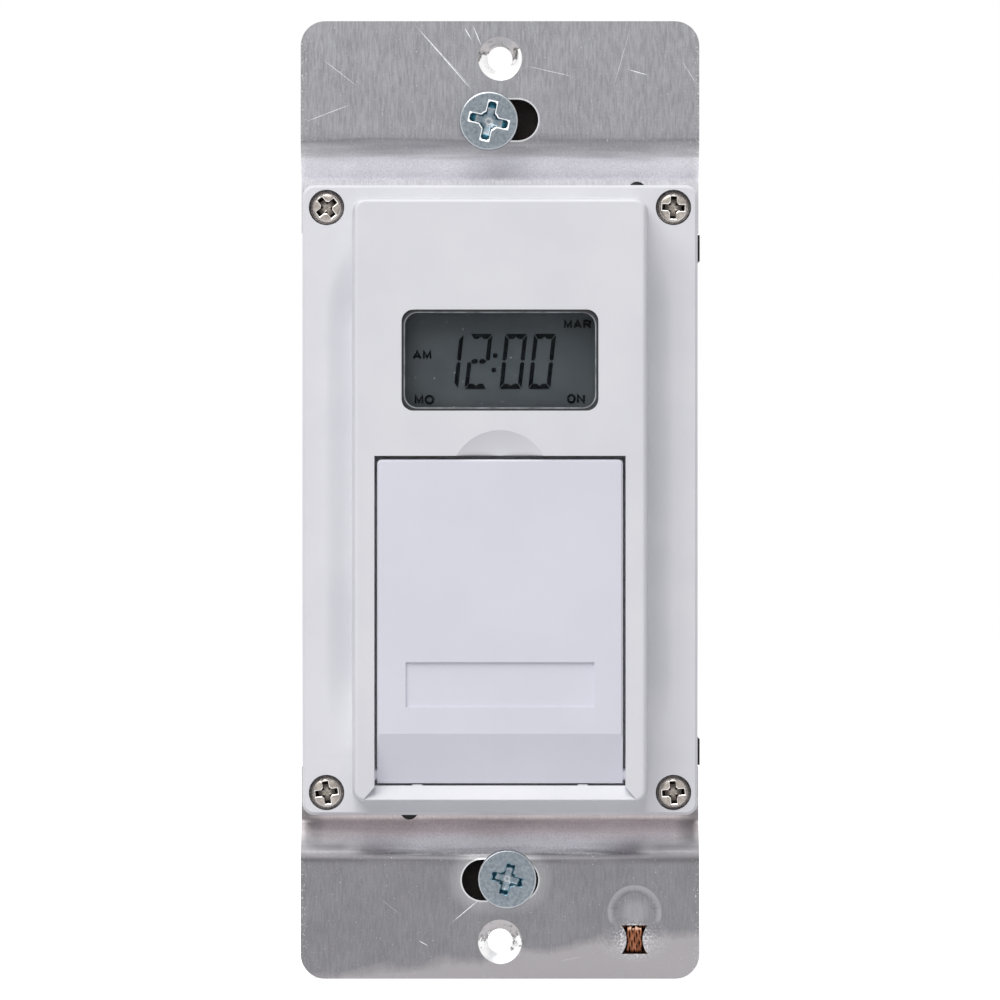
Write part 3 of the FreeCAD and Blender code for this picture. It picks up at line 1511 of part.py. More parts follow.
def caseScrews():
    # One screw is turned at the upper right corner and mirrored to the other three.
    body = newBody("case_screw_form")
    top, tip = "caseScrewSeat + caseScrewHeadThick", "caseScrewSeat - caseScrewLong"
    profile = [
        (top, "0"),
        (top, "caseScrewHead / 2"),
        ("caseScrewSeat", "caseScrewHead / 2"),
        ("caseScrewSeat", "caseScrewShank / 2"),
        (tip, "caseScrewShank / 2"),
        (tip, "0"),
    ]
    revolve(body, "Screw", profile, "caseScrewX", "caseScrewZ")
    across = document.addObject("Part::Mirroring", "case_screw_left")
    across.Source = body
    across.Normal = FreeCAD.Vector(1, 0, 0)
    links = [body, across]
    for item in (body, across):
        below = document.addObject("Part::Mirroring", item.Name + "_below")
        below.Source = item
        below.Normal = FreeCAD.Vector(0, 0, 1)
        links.append(below)
    group = document.addObject("Part::Compound", "case_screws")
    group.Label = "case_screws"
    group.Links = links
    return group


def boxScrews():
    # A screw hangs by its narrow neck in the retainer, which can't pass its thicker shank.
    made = []
    for word, side, x in (("top", "1", "topScrewX"), ("bottom", "-1", "lowScrewX")):
        z = f"({side} * boxScrewZ)"
        under = "(strapThick + headGap)"
        top = f"({under} + boxScrewHeadThick)"
        tip = f"({under} - boxScrewLong)"
        screw = newBody(word + "_mounting_screw")
        profile = [
            (top, "0"),
            (top, "boxScrewHead / 2"),
            (under, "boxScrewHead / 2"),
            (under, "boxScrewNeck / 2"),
            ("neckEnd", "boxScrewNeck / 2"),
            ("neckEnd", "boxScrewDiameter / 2"),
            (tip, "boxScrewDiameter / 2"),
            (tip, "0"),
        ]
        revolve(screw, "Screw", profile, x, z)

        retainer = newBody(word + "_screw_retainer")
        pad(
            retainer,
            "Plate",
            lambda sketch: rectangle(
                sketch, x, f"{side} * (boxScrewZ + retainerLift)", "retainerWidth", "retainerHeight"
            ),
            "retainerBack",
            "retainerFront",
        )
        pocket(
            retainer,
            "ScrewHole",
            lambda sketch: circle(sketch, x, z, "boxScrewNeck + 2 * retainerPlay"),
            "retainerBack",
            "retainerFront",
        )
        made += [screw, retainer]
    return made


def roundedPath(points, radii):
    # Straight runs joined by arcs that are tangent to both.
    edges, start = [], points[0]
    for before, corner, after, radius in zip(points, points[1:], points[2:], radii):
        into, out = (corner - before).normalize(), (after - corner).normalize()
        half = into.getAngle(out) / 2
        reach = radius * math.tan(half)
        first, last = corner - into * reach, corner + out * reach
        inward = (out - into).normalize()
        middle = corner + inward * (radius / math.cos(half) - radius)
        edges += [Part.LineSegment(start, first).toShape(), Part.Arc(first, middle, last).toShape()]
        start = last
    edges.append(Part.LineSegment(start, points[-1]).toShape())
    return Part.Wire(edges)


def cordRadii(points):
    # Each arc is as large as its two runs allow.
    radii = []
    for before, corner, after in zip(points, points[1:], points[2:]):
        into, out = corner - before, after - corner
        shorter = min(into.Length, out.Length)
        radii.append(0.45 * shorter / math.tan(into.getAngle(out) / 2))
    return radii


def tube(label, path, diameter):
    # A round section carried along the path, compared with section times length.
    start = path.Edges[0]
    ring = Part.Circle(start.Vertexes[0].Point, start.tangentAt(start.FirstParameter), diameter / 2)
    mitred = 1
    shape = path.makePipeShell([Part.Wire([ring.toShape()])], True, False, mitred)
    item = document.addObject("Part::Feature", label)
    item.Label = label
    item.Shape = shape
    expected = math.pi * diameter * diameter / 4 * path.Length
    if abs(shape.Volume - expected) > 0.01 * expected:
        raise RuntimeError(f"{label} holds {shape.Volume:.2f} instead of {expected:.2f} cubic millimetres")
    return item


# The route of the ground lead behind the strap, point by point: X, Y and Z.
leadRoute = [
    (14.75, 2.2, -48.95),
    (14.75, 24.0, -48.95),
    (10.5, 40.0, -33.0),
    (1.0, 38.5, 2.0),
    (-7.5, 32.7, 34.0),
]


def groundLead():
    conductorZ = number("0 - stakeZ - conductorDrop")
    x, y = number("stakeX"), number("0 - strapThick / 2")
    corner = [
        FreeCAD.Vector(x, y, number("conductorTop - stakeZ")),
        FreeCAD.Vector(x, y, conductorZ),
        FreeCAD.Vector(x, number("leadStart"), conductorZ),
    ]
    conductor = tube("ground_conductor", Part.makePolygon(corner), number("conductorDiameter"))
    # The route starts where the conductor ends, so it moves with the stake.
    shift = corner[-1] - FreeCAD.Vector(*leadRoute[0])
    points = [FreeCAD.Vector(*point) + shift for point in leadRoute]
    radii = cordRadii(points)
    path = roundedPath(points, radii)
    print("ground lead length", round(path.Length, 2), "radii", [round(radius, 1) for radius in radii])
    lead = tube("ground_lead", path, number("leadDiameter"))
    outward = (points[-1] - points[-2]).normalize()
    bare = Part.Wire([Part.LineSegment(points[-1], points[-1] + outward * number("leadBare")).toShape()])
    end = tube("ground_lead_end", bare, number("conductorDiameter"))
    return [conductor, lead, end]


nodes = [
    mountingStrap(),
    frontHousing(),
    displayWindow(),
    lcdPanel(),
    *connectorStrips(),
    controlBoard(),
    *boardParts(),
    accessDoor(),
    *keys(),
    batteryTray(),
    batteryCell(),
    *batteryContacts(),
    rearHousing(),
    *powerParts(),
    *supplyCapacitors(),
    boardHeader(),
    caseScrews(),
    *boxScrews(),
    *groundLead(),
]
document.recompute()

for item in document.Objects:
    if "Invalid" in item.State or "Error" in item.State:
        raise RuntimeError(f"{item.Label} is {item.State}")
for node in nodes:
    if node.Shape.isNull() or not node.Shape.isValid():
        raise RuntimeError(f"{node.Label} has no valid shape")

os.makedirs("parts", exist_ok=True)
for node in nodes:
    node.Shape.exportStep(f"parts/{node.Label}.step")
print(len(nodes), "nodes written")
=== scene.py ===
import math

import bmesh
import bpy
import numpy as np
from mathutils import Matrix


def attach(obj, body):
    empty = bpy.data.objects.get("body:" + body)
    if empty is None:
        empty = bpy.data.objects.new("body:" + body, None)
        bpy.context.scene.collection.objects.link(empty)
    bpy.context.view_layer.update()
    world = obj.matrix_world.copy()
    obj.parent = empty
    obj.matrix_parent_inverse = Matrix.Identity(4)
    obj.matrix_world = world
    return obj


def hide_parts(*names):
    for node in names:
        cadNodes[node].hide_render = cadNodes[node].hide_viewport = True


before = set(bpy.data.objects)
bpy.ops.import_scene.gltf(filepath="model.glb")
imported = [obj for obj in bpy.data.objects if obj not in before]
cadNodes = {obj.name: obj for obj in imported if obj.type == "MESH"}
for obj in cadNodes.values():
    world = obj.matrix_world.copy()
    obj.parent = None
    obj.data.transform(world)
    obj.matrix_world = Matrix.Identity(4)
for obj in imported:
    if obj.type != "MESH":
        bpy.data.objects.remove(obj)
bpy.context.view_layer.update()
print("frame loaded with", len(cadNodes), "nodes")

# Sizes here are in millimetres unless a name says otherwise. X runs across the strap, Y into the wall
# and Z up. A front is a distance ahead of the wall plane, so it lies at minus that along Y.
mm = 0.001
perMetre = 1000.0  # a pattern's scale in Object coordinates is perMetre over its size in millimetres


def linear(colour):
    # An sRGB hex colour as the linear values that a shader takes.
    parts = [int(colour[at : at + 2], 16) / 255 for at in (1, 3, 5)]
    parts = [p / 12.92 if p <= 0.04045 else ((p + 0.055) / 1.055) ** 2.4 for p in parts]
    return (*parts, 1.0)


def addNode(tree, kind, inputs=None, give=0, stops=(), **settings):
    # A shader node. An input is a value, a hex colour or another node's output, a setting is a property,
    # and stops are a ramp's positions and colours. It gives back the output that is asked for.
    node = tree.nodes.new("ShaderNode" + kind)
    for number, (position, colour) in enumerate(stops):
        ramp = node.color_ramp.elements
        stop = ramp[number] if number < len(ramp) else ramp.new(position)
        stop.position = position
        stop.color = linear(colour)
    for name, value in settings.items():
        setattr(node, name, value)
    for name, value in (inputs or {}).items():
        if isinstance(value, bpy.types.NodeSocket):
            tree.links.new(value, node.inputs[name])
        else:
            node.inputs[name].default_value = linear(value) if isinstance(value, str) else value
    return node.outputs[give] if len(node.outputs) else None


def newMaterial(name):
    # The tree of a new material, and the place in Object coordinates that its patterns read.
    material = bpy.data.materials.new(name)
    material.use_nodes = True
    material.node_tree.nodes.clear()
    return material.node_tree, addNode(material.node_tree, "TexCoord", give="Object")


def closeMaterial(tree, tone, gloss, relief=None, inputs=None):
    # The Principled shader. Gloss is a value, the ends it is read between and the roughness that each
    # gives. Relief is a value, the strength of its bumps and their height.
    value, low, high, smooth, coarse = gloss
    inputs = {"Base Color": tone, **(inputs or {})}
    inputs["Roughness"] = addNode(tree, "MapRange", {0: value, 1: low, 2: high, 3: smooth, 4: coarse})
    if relief:
        value, strength, height = relief
        bumps = {"Height": value, "Strength": strength, "Distance": height * mm}
        inputs["Normal"] = addNode(tree, "Bump", bumps)
    addNode(tree, "OutputMaterial", {"Surface": addNode(tree, "BsdfPrincipled", inputs)})


def paint(tree, tone, colour, *ramps):
    # The tone turned to a colour by the product of ramps. A ramp is a value, the two ends it is read
    # between, and what it gives at the second end and at the first, or nothing there.
    mask = 1.0
    for value, low, high, top, *bottom in ramps:
        least = bottom[0] if bottom else 0.0
        part = addNode(tree, "MapRange", {0: value, 1: low, 2: high, 3: least, 4: top})
        mask = addNode(tree, "Math", {0: mask, 1: part}, operation="MULTIPLY")
    return addNode(tree, "Mix", {0: mask, 6: tone, 7: colour}, 2, data_type="RGBA")


def markAt(tree, place, centre, reach, turn=0.0):
    # A spot that falls from 1 at its centre to 0 at its reach, turned in the strap's plane, and the place
    # as the spot measures it.
    centre, reach = (tuple(v * mm for v in size) for size in (centre, reach))
    fitted = {"Vector": place, "Location": centre, "Rotation": (0.0, math.radians(turn), 0.0), "Scale": reach}
    local = addNode(tree, "Mapping", fitted, vector_type="TEXTURE")
    return addNode(tree, "TexGradient", {0: local}, 1, gradient_type="SPHERICAL"), local


# The camera stands at the height of the timer's middle, square to its face.
view = {"distance": 650.0, "lens": 213.0, "sensor": 36.0, "nearest": 10.0}
cameraData = bpy.data.cameras.new("camera")
cameraData.lens = view["lens"]
cameraData.sensor_width = view["sensor"]
cameraData.clip_start = view["nearest"] * mm
camera = bpy.data.objects.new("camera", cameraData)
camera.location = (0.0, -view["distance"] * mm, 0.0)
camera.rotation_euler = (math.radians(90), 0.0, 0.0)
bpy.context.scene.collection.objects.link(camera)
bpy.context.scene.camera = camera
print("camera placed")

dustLook = {"size": 0.28, "ramp": (0.745, 0.79, 1.0)}


def mouldedPlastic(name, colour, shade, cloud, grain, roughness, bump, ior=1.5, dust=None):
    # A moulded plastic: two near tones in soft clouds, and the fine grain that the mould left. Clouds
    # and grain are sizes, and the grain is drawn no finer than the picture can show.
    tree, place = newMaterial(name)
    clouds = addNode(tree, "TexNoise", {0: place, "Scale": perMetre / cloud, "Detail": 3.0})
    tone = paint(tree, colour, shade, (clouds, 0.35, 0.65, 1.0))
    if dust:
        specks = {0: place, "Scale": perMetre / dustLook["size"], "Detail": 1.0}
        tone = paint(tree, tone, dust, (addNode(tree, "TexNoise", specks), *dustLook["ramp"]))
    grains = addNode(tree, "TexNoise", {0: place, "Scale": perMetre / grain, "Detail": 2.0})
    gloss = (grains, 0.3, 0.7, roughness - 0.05, roughness + 0.05)
    closeMaterial(tree, tone, gloss, (grains, bump, grain * 0.1), {"IOR": ior})


# Name, then colour, shade, sizes of clouds and grain, roughness and strength of the relief, and for some
# the IOR and the colour of the dust.
plastics = {
    # White ABS from a polished mould: even, softly glossy, with next to no grain.
    "mouldedWhiteAbs": ("#E6E6EA", "#E1E1E6", 9.0, 0.22, 0.34, 0.12),
    # The door is a moulding of its own, and a touch bluer.
    "mouldedCoolWhiteAbs": ("#E3E3ED", "#DFDFE9", 11.0, 0.2, 0.36, 0.12),
    # Natural white nylon: waxy, a little warm.
    "mouldedNaturalNylon": ("#DFDFDC", "#DADAD6", 6.0, 0.3, 0.45, 0.2),
    # Grey ABS keys, fine matt from an eroded mould.
    "mouldedGreyAbs": ("#B3B6BD", "#A9ACB4", 2.0, 0.16, 0.5, 0.35),
    # Black flame-retardant polycarbonate, matt from a spark-eroded mould, whose pits break its gloss.
    "sparkTexturedBlackPolycarbonate": ("#0E0E10", "#151517", 3.0, 0.4, 0.55, 1.0, 1.36),
    # Black epoxy moulding compound: dull, finely speckled.
    "mouldedBlackEpoxy": ("#19191B", "#29292B", 0.3, 0.12, 0.58, 0.4),
    # Blue polyester relay cover: smooth and glossy with faint flow marks.
    "mouldedBluePolyester": ("#23467F", "#1E3D72", 6.0, 0.25, 0.3, 0.15),
    # Red flame-retardant box of a film capacitor: smooth, with a satin gloss.
    "mouldedRedPolybutylene": ("#9E2A26", "#8E2421", 5.0, 0.3, 0.35, 0.2),
    # Powder-dipped blue epoxy: thick, rounded and like orange peel.
    "dippedBlueEpoxy": ("#1F4C86", "#2A5B98", 1.2, 0.6, 0.32, 0.6),
    # Dark vulcanised fibre, punched from sheet: matt with a felted, blotchy look.
    "punchedVulcanisedFibre": ("#1D1614", "#0F0C0C", 1.0, 0.2, 0.8, 0.6, 1.3),
    # Green flexible PVC, extruded over the strands: satin, with faint marks along it.
    "extrudedGreenPvc": ("#1B7A41", "#17703A", 3.5, 0.4, 0.42, 0.3),
    # Dark blue shrink film on the battery, smooth over the can.
    "shrunkBlueFilm": ("#28386B", "#23325F", 8.0, 0.5, 0.28, 0.15),
    # Pad-printed ink: a thin dark matt film.
    "padPrintedInk": ("#2B2D33", "#34363C", 0.5, 0.1, 0.6, 0.3),
    # The dark of a driven liquid crystal: even, near black, faintly blue. It lies between the glasses, so
    # it has next to no surface of its own to shine.
    "drivenLiquidCrystal": ("#090C12", "#0D1016", 1.5, 0.1, 0.5, 0.05, 1.06),
    # Polariser film on a grey reflector: a dull silver grey with a fine shimmer and a little dust.
    "polarisedReflectorFilm": ("#565E62", "#60676B", 6.0, 0.15, 0.4, 0.15, 1.2, "#C9CDD0"),
    # The rim of the clear window: painted shadow where its side wall lies in shade, and a painted highlight
    # along its bevel.
    "mouldedWindowSide": ("#26272A", "#303134", 1.0, 0.15, 0.3, 0.1),
    "mouldedWindowBevel": ("#A9ACB0", "#6F7276", 1.4, 0.15, 0.2, 0.1),
}
for name, look in plastics.items():
    mouldedPlastic(name, *look)


def platedMetal(name, colour, shade, cloud, scuff, roughness, deep=None, paintedHighlight=None):
    # A plated or bare metal part: a base tone with mottling, fine scuffs and an uneven gloss. Clouds and
    # scuffs are sizes. The tint attribute paints light and shade: above zero it turns the tone to the painted
    # shade of the deep places, and below zero to the painted highlight of the edges.
    tree, place = newMaterial(name)
    clouds = addNode(tree, "TexNoise", {0: place, "Scale": perMetre / cloud, "Detail": 4.0})
    tone = paint(tree, colour, shade, (clouds, 0.3, 0.7, 1.0))
    if deep:
        tint = addNode(tree, "Attribute", give="Fac", attribute_name="tint")
        tone = paint(tree, tone, deep, (tint, 0.0, 1.0, 1.0))
        tone = paint(tree, tone, paintedHighlight, (tint, 0.0, -1.0, 1.0))
    scuffs = addNode(tree, "TexNoise", {0: place, "Scale": perMetre / scuff, "Detail": 3.0})
    gloss = (scuffs, 0.3, 0.7, roughness - 0.08, roughness + 0.08)
    closeMaterial(tree, tone, gloss, (scuffs, 0.25, scuff * 0.05), {"Metallic": 1.0})


# Name, then colour, shade, sizes of clouds and scuffs, roughness, and the tones of painted shade in the deep
# places and of painted highlight on the edges.
metals = {
    # Zinc-plated, blue-passivated steel: pale bluish grey, with a painted teal reflection in the deep places
    # of the recess and a painted highlight on its edges.
    "bluePassivatedZincSteel": ("#929AA0", "#747B83", 0.35, 0.16, 0.34, "#37788A", "#F7FAFB"),
    # Nickel-plated steel: warm grey, painted browner and darker as shade in its recess, with a painted
    # highlight on its edges.
    "brightNickelSteel": ("#B9B2AA", "#948C84", 0.4, 0.12, 0.26, "#2F2825", "#F4F0EB"),
    # Bare drawn copper, slightly tarnished, with a painted shade tone for strands in shadow and a painted
    # highlight tone for lit tips.
    "drawnCopperStrand": ("#B57A5B", "#7E4A35", 0.35, 0.2, 0.32, "#2C1A14", "#F3C9AE"),
    # Nickel-plated spring brass, stamped: pale, faintly yellow.
    "nickelPlatedSpringBrass": ("#C9BD9C", "#B9AC89", 1.5, 0.25, 0.28),
    # Drawn and plated steel can: even and fairly bright.
    "drawnNickelPlatedSteel": ("#C3C3C2", "#B2B2B1", 1.5, 0.3, 0.25),
    # Drawn aluminium can: pale and a little duller.
    "drawnAluminiumCan": ("#C9CACC", "#B9BABC", 1.2, 0.25, 0.35),
}
for name, look in metals.items():
    platedMetal(name, *look)

strapLook = {
    # height and tone of the sheet there: a rolled grey on the ears, the lower ear painted darker as shade,
    # pale bands of painted reflection on the bends, a painted brownish shadow under the flange's lower edge,
    # and the thin marks of the bending edge between
    "tones": [
        (-52.5, "#848386"), (-40.2, "#838285"), (-39.6, "#7C7B7E"), (-39.3, "#68676A"), (-39.1, "#5A595C"),
        (-38.9, "#6B6A6D"), (-38.5, "#CBCACE"), (-38.0, "#F8F7FA"), (-37.2, "#FCFAFC"), (-36.7, "#F0E7E7"),
        (-36.2, "#DFD6D6"), (-35.6, "#D8CECE"), (-35.45, "#8D8383"), (-35.3, "#C4BABA"), (-34.0, "#B0AAAA"),
        (34.0, "#C8C7CB"), (35.0, "#D2D1D5"), (35.15, "#F2F1F5"), (35.3, "#E0DFE3"), (36.8, "#E2E1E5"),
        (37.3, "#DDDCE0"), (37.7, "#BFBEC0"), (38.3, "#A9A8AA"), (38.95, "#939294"), (39.1, "#5F5E60"),
        (39.25, "#69686A"), (39.45, "#8B8A8D"), (40.2, "#959599"), (52.5, "#98989C"),
    ],
    "toneLift": 0.1,  # how much higher the tones lie than said
    "speckle": 0.08,  # how far the borders waver in specks
    "waver": 0.22,  # and in streaks
    "lines": (0.15, 1.3),  # brush lines across and along, finer in fact and drawn as coarse as they show
    "streaks": (9.0, 0.5),  # streaks of the bending edge along X and across it
    "cloud": 5.0,
    "fleckSize": 0.22,
    "shares": (0.2, 0.3, 0.5),  # of flecks, clouds and lines in the swing of the value
    "swing": (0.4, 0.6, 0.89, 1.11),
    "roughness": 0.36,
    "fleck": "#F0F1F4",
    "fleckRamp": (0.71, 0.8, 0.4),
    "cutEdge": (20.9, 21.75, 0.13),  # flecks crowd the two long edges, where the cut left its burr
    "haze": "#A9A5A7",
    "hazeDrift": (-0.12, 4.0),  # how its border leans along X and how far the clouds move it
    "hazeRamp": (-47.4, -48.6, 0.8),
    # the arch that is pressed out over the stake, drawn as painted rings of highlight and shade: middle,
    # reach, tone, what shows of it from its rim inwards, and the heights between which it ends
    "arch": (14.75, -0.6, -45.2),
    "archReach": 3.1,
    "archHighlightTone": "#CFCED1",
    "archShadeRings": [
        (0.0, "#000000"), (0.06, "#969696"), (0.14, "#828282"), (0.24, "#242424"), (0.42, "#3A3A3A"),
        (0.66, "#808080"), (1.0, "#888888"),
    ],
    "archEnd": (-46.6, -46.0, 1.0),
    # hammer marks and burrs about the stake's window: tone, middle, reach, where they are full, and how
    # the flecks break them
    "hammered": [
        ("#D4D2D3", (14.75, -1.0, -48.4), (4.4, 3.0, 2.5), 0.4, (0.42, 0.62, 0.22)),
        ("#F0F1F4", (14.75, -1.0, -48.2), (2.2, 3.0, 2.3), 0.3, (0.5, 0.58, 0.42)),
    ],
    "slots": (41.67, 1.95, 2.25),  # height, half of the straight part and end radius
    "slotRimHighlight": (0.2, 0.08, 0.6),  # outside the slot's edge
    "slotHaloHighlight": (1.7, 0.2, 0.16),
    "haloHeights": (-30.0, -34.0, 1.0),  # only the lower slot has it
    # painted shade over the lower bend's ends, which darkens the lamp's reflection there: tone, from and to
    # along X either way, and at two heights
    "paintedShade": "#5D5B5E",
    "paintedShadeEnds": [
        [(9.0, 17.5, 0.9), (-39.9, -39.2, 1.0), (-36.6, -38.0, 1.0)],
        [(19.2, 21.2, 0.72), (-38.4, -37.6, 1.0), (-33.0, -34.5, 1.0)],
    ],
    # height of each wall plate hole, size of the tool's streaks in its countersink, and the dark and grey
    # tones of its painted reflection
    "holes": [(48.42, 1.7, "#4A4644", "#9C9997"), (-48.42, 4.2, "#6A6766", "#A9A7A6")],
    "holeReach": 2.52,
    "holeReflectionFall": -0.34,  # how strongly the tones follow the height in it
    "holeStops": (0.3, 0.39, 0.42, 0.48, 0.54),
    # the scratches' colour, which also paints the highlights round the slots
    "scratchAndHighlight": "#F4F5F7",
    # x, z, half length, half width, slant in degrees and strength of each long scratch
    "scratches": [
        (-6.1, 48.4, 5.1, 0.06, 48.9, 0.9),
        (-5.7, 48.1, 4.2, 0.04, 48.0, 0.5),
        (-2.5, 50.9, 1.25, 0.05, 68.0, 1.0),
        (-3.5, 51.1, 0.8, 0.06, 60.0, 0.9),
        (5.5, 47.0, 2.9, 0.04, 13.0, 0.6),
        (13.4, 48.6, 3.6, 0.04, -74.0, 0.4),
        (15.1, 46.9, 1.2, 0.05, 16.0, 0.9),
        (-17.5, 46.8, 2.6, 0.04, 38.0, 0.6),
        (-18.9, 42.4, 2.9, 0.04, -21.0, 0.7),
        (20.8, 46.8, 1.7, 0.04, 57.0, 0.5),
        (-3.7, -45.0, 2.1, 0.05, -40.0, 0.9),
        (-8.4, -48.6, 0.6, 0.06, 30.0, 0.7),
        (-12.0, -44.6, 1.5, 0.03, 38.0, 0.3),
        (7.8, -50.3, 1.3, 0.03, -12.0, 0.3),
    ],
    "scratchBreaks": (0.35, 0.5, 1.0, 0.45),
}


def brushedAluminiumSheet(look):
    # Aluminium sheet, rolled, brushed along the strap, then punched and bent. The eye sees fine lines down
    # the strap, cloudy greys, white flecks, long scratches, painted highlights round the slots and on a
    # pressed arch, a painted reflection in the countersinks, painted shade and reflections along the bends,
    # and a hazy hammered patch where the ground wire is staked.
    tree, place = newMaterial("brushedAluminiumSheet")
    drawn = []
    for across, along in (look["lines"], look["streaks"]):
        scale = (perMetre / across, perMetre / across, perMetre / along)
        stretched = addNode(tree, "Mapping", {0: place, "Scale": scale})
        drawn.append(addNode(tree, "TexNoise", {0: stretched, "Scale": 1.0, "Detail": 3.0}))
    lines, streaks = drawn
    soft = {0: place, "Scale": perMetre / look["cloud"], "Detail": 7.0, "Roughness": 0.62}
    cloud = addNode(tree, "TexNoise", soft)
    fine = addNode(tree, "TexNoise", {0: place, "Scale": perMetre / look["fleckSize"], "Detail": 1.0})
    measured = addNode(tree, "VectorMath", {0: place, "Scale": perMetre}, operation="SCALE")
    side, _, height = addNode(tree, "SeparateXYZ", {0: measured}).node.outputs
    away, far = (addNode(tree, "Math", {0: value}, operation="ABSOLUTE") for value in (side, height))

    # The bends run straight. Their borders waver in long streaks, with a little speckle.
    wander = height
    for value, low, reach in ((fine, 0.0, look["speckle"]), (streaks, -1.0, look["waver"])):
        part = addNode(tree, "MapRange", {0: value, 1: 0.3, 2: 0.7, 3: low, 4: 1.0})
        wander = addNode(tree, "Math", {0: part, 1: reach, 2: wander}, operation="MULTIPLY_ADD")
    # These tones paint the shade and the reflections of the bends and the ears along the height.
    half, lift = look["tones"][-1][0], look["toneLift"]
    level = addNode(tree, "MapRange", {0: wander, 1: lift - half, 2: lift + half})
    stops = [((z + half) / (2 * half), colour) for z, colour in look["tones"]]
    tone = addNode(tree, "ValToRGB", {0: level}, stops=stops)

    # Rolling and brushing: the value swings by an eighth about the tone.
    mixed = 0.0
    for value, share in zip((fine, cloud, lines), look["shares"]):
        mixed = addNode(tree, "Math", {0: value, 1: share, 2: mixed}, operation="MULTIPLY_ADD")
    low, high, least, most = look["swing"]
    swing = addNode(tree, "MapRange", {0: mixed, 1: low, 2: high, 3: least, 4: most})
    tone = addNode(tree, "HueSaturation", {"Color": tone, "Value": swing})

    # The hazy patch round the stake and along the lower end, its border drawn by the clouds.
    lean, drift = look["hazeDrift"]
    border = addNode(tree, "Math", {0: side, 1: lean, 2: height}, operation="MULTIPLY_ADD")
    border = addNode(tree, "Math", {0: cloud, 1: drift, 2: border}, operation="MULTIPLY_ADD")
    tone = paint(tree, tone, look["haze"], (border, *look["hazeRamp"]))
    # The wire's pocket is pressed out of the sheet, which leaves an arch and a thumb's shape. The arch's
    # relief is painted as rings of highlight and shade.
    arch, _ = markAt(tree, place, look["arch"], (look["archReach"],) * 3)
    archShading = addNode(tree, "ValToRGB", {0: arch}, stops=look["archShadeRings"])
    tone = paint(tree, tone, look["archHighlightTone"], (archShading, 0.0, 1.0, 1.0), (height, *look["archEnd"]))
    for colour, centre, reach, full, breaks in look["hammered"]:
        spot, _ = markAt(tree, place, centre, reach)
        tone = paint(tree, tone, colour, (spot, 0.0, full, 1.0), (fine, *breaks))

    low, high, most = look["cutEdge"]
    rim = addNode(tree, "MapRange", {0: away, 1: low, 2: high, 4: most})
    flecks = addNode(tree, "Math", {0: fine, 1: rim}, operation="ADD")
    tone = paint(tree, tone, look["fleck"], (flecks, *look["fleckRamp"]))

    # A thin painted highlight runs round each slot's edge, with a wide faint painted highlight outside it
    # round the lower slot, where the sheet is dimpled.
    slotHeight, straight, radius = look["slots"]
    over = addNode(tree, "Math", {0: away, 1: straight}, operation="SUBTRACT")
    over = addNode(tree, "Math", {0: over, 1: 0.0}, operation="MAXIMUM")
    rise = addNode(tree, "Math", {0: far, 1: slotHeight}, operation="SUBTRACT")
    offset = addNode(tree, "CombineXYZ", {0: over, 1: rise})
    reach = addNode(tree, "VectorMath", {0: offset}, "Value", operation="LENGTH")
    low, high, most = look["slotRimHighlight"]
    tone = paint(tree, tone, look["scratchAndHighlight"], (reach, radius + low, radius + high, most))
    low, high, most = look["slotHaloHighlight"]
    ramps = [(reach, radius + low, radius + high, most), (height, *look["haloHeights"])]
    tone = paint(tree, tone, look["scratchAndHighlight"], *ramps)
    # Painted shade darkens the lower bend towards its ends.
    for ends, first, second in look["paintedShadeEnds"]:
        tone = paint(tree, tone, look["paintedShade"], (away, *ends), (height, *first), (height, *second))

    # Countersinks carry a painted reflection: grey in their upper halves, which face down, and painted white
    # in their lower halves, which face up to the light, with the tool's dark streaks where that turns to
    # white.
    for z, streak, dark, grey in look["holes"]:
        spot, local = markAt(tree, place, (0.0, -1.0, z), (look["holeReach"],) * 3)
        swirl = {0: local, "Scale": streak, "Detail": 3.0, "Distortion": 0.8}
        swirl = addNode(tree, "TexNoise", swirl)
        fall = addNode(tree, "SeparateXYZ", {0: local}, 2)
        fall = addNode(tree, "Math", {0: fall, 1: look["holeReflectionFall"], 2: swirl}, operation="MULTIPLY_ADD")
        stops = zip(look["holeStops"], ("#BAB6B7", grey, dark, "#CFCECE", "#FFFFFF"))
        shine = addNode(tree, "ValToRGB", {0: fall}, stops=stops)
        tone = paint(tree, tone, shine, (spot, 0.02, 0.06, 1.0))

    mark = 0.0
    for x, z, length, wide, slant, strength in look["scratches"]:
        spot, _ = markAt(tree, place, (x, -1.3, z), (length, 2.0, wide), slant)
        line = addNode(tree, "MapRange", {0: spot, 2: 0.3, 4: strength})
        mark = addNode(tree, "Math", {0: line, 1: mark}, operation="MAXIMUM")
    tone = paint(tree, tone, look["scratchAndHighlight"], (mark, 0.0, 1.0, 1.0), (fine, *look["scratchBreaks"]))

    gloss = (lines, 0.3, 0.7, look["roughness"] - 0.08, look["roughness"] + 0.08)
    closeMaterial(tree, tone, gloss, (lines, 0.3, 0.006), {"Metallic": 1.0})


brushedAluminiumSheet(strapLook)


def clearMoulding(name, colour, dusty, dust, roughness, alpha, ior):
    # A clear sheet or glass with faint dust and an even polish. What is behind it shows through.
    tree, place = newMaterial(name)
    specks = addNode(tree, "TexNoise", {0: place, "Scale": perMetre / dust, "Detail": 4.0})
    tone = addNode(tree, "Mix", {0: specks, 6: colour, 7: dusty}, 2, data_type="RGBA")
    closeMaterial(tree, tone, (specks, 0.4, 0.8, roughness, 0.2), None, {"Alpha": alpha, "IOR": ior})


# Name, colour, dusty tone, size of the dust, roughness, alpha and IOR. Injection-moulded clear
# polycarbonate first: nearly nothing of its own shows but its gloss.
clearMoulding("mouldedClearPolycarbonate", "#2B2E31", "#44484B", 1.3, 0.06, 0.03, 1.58)
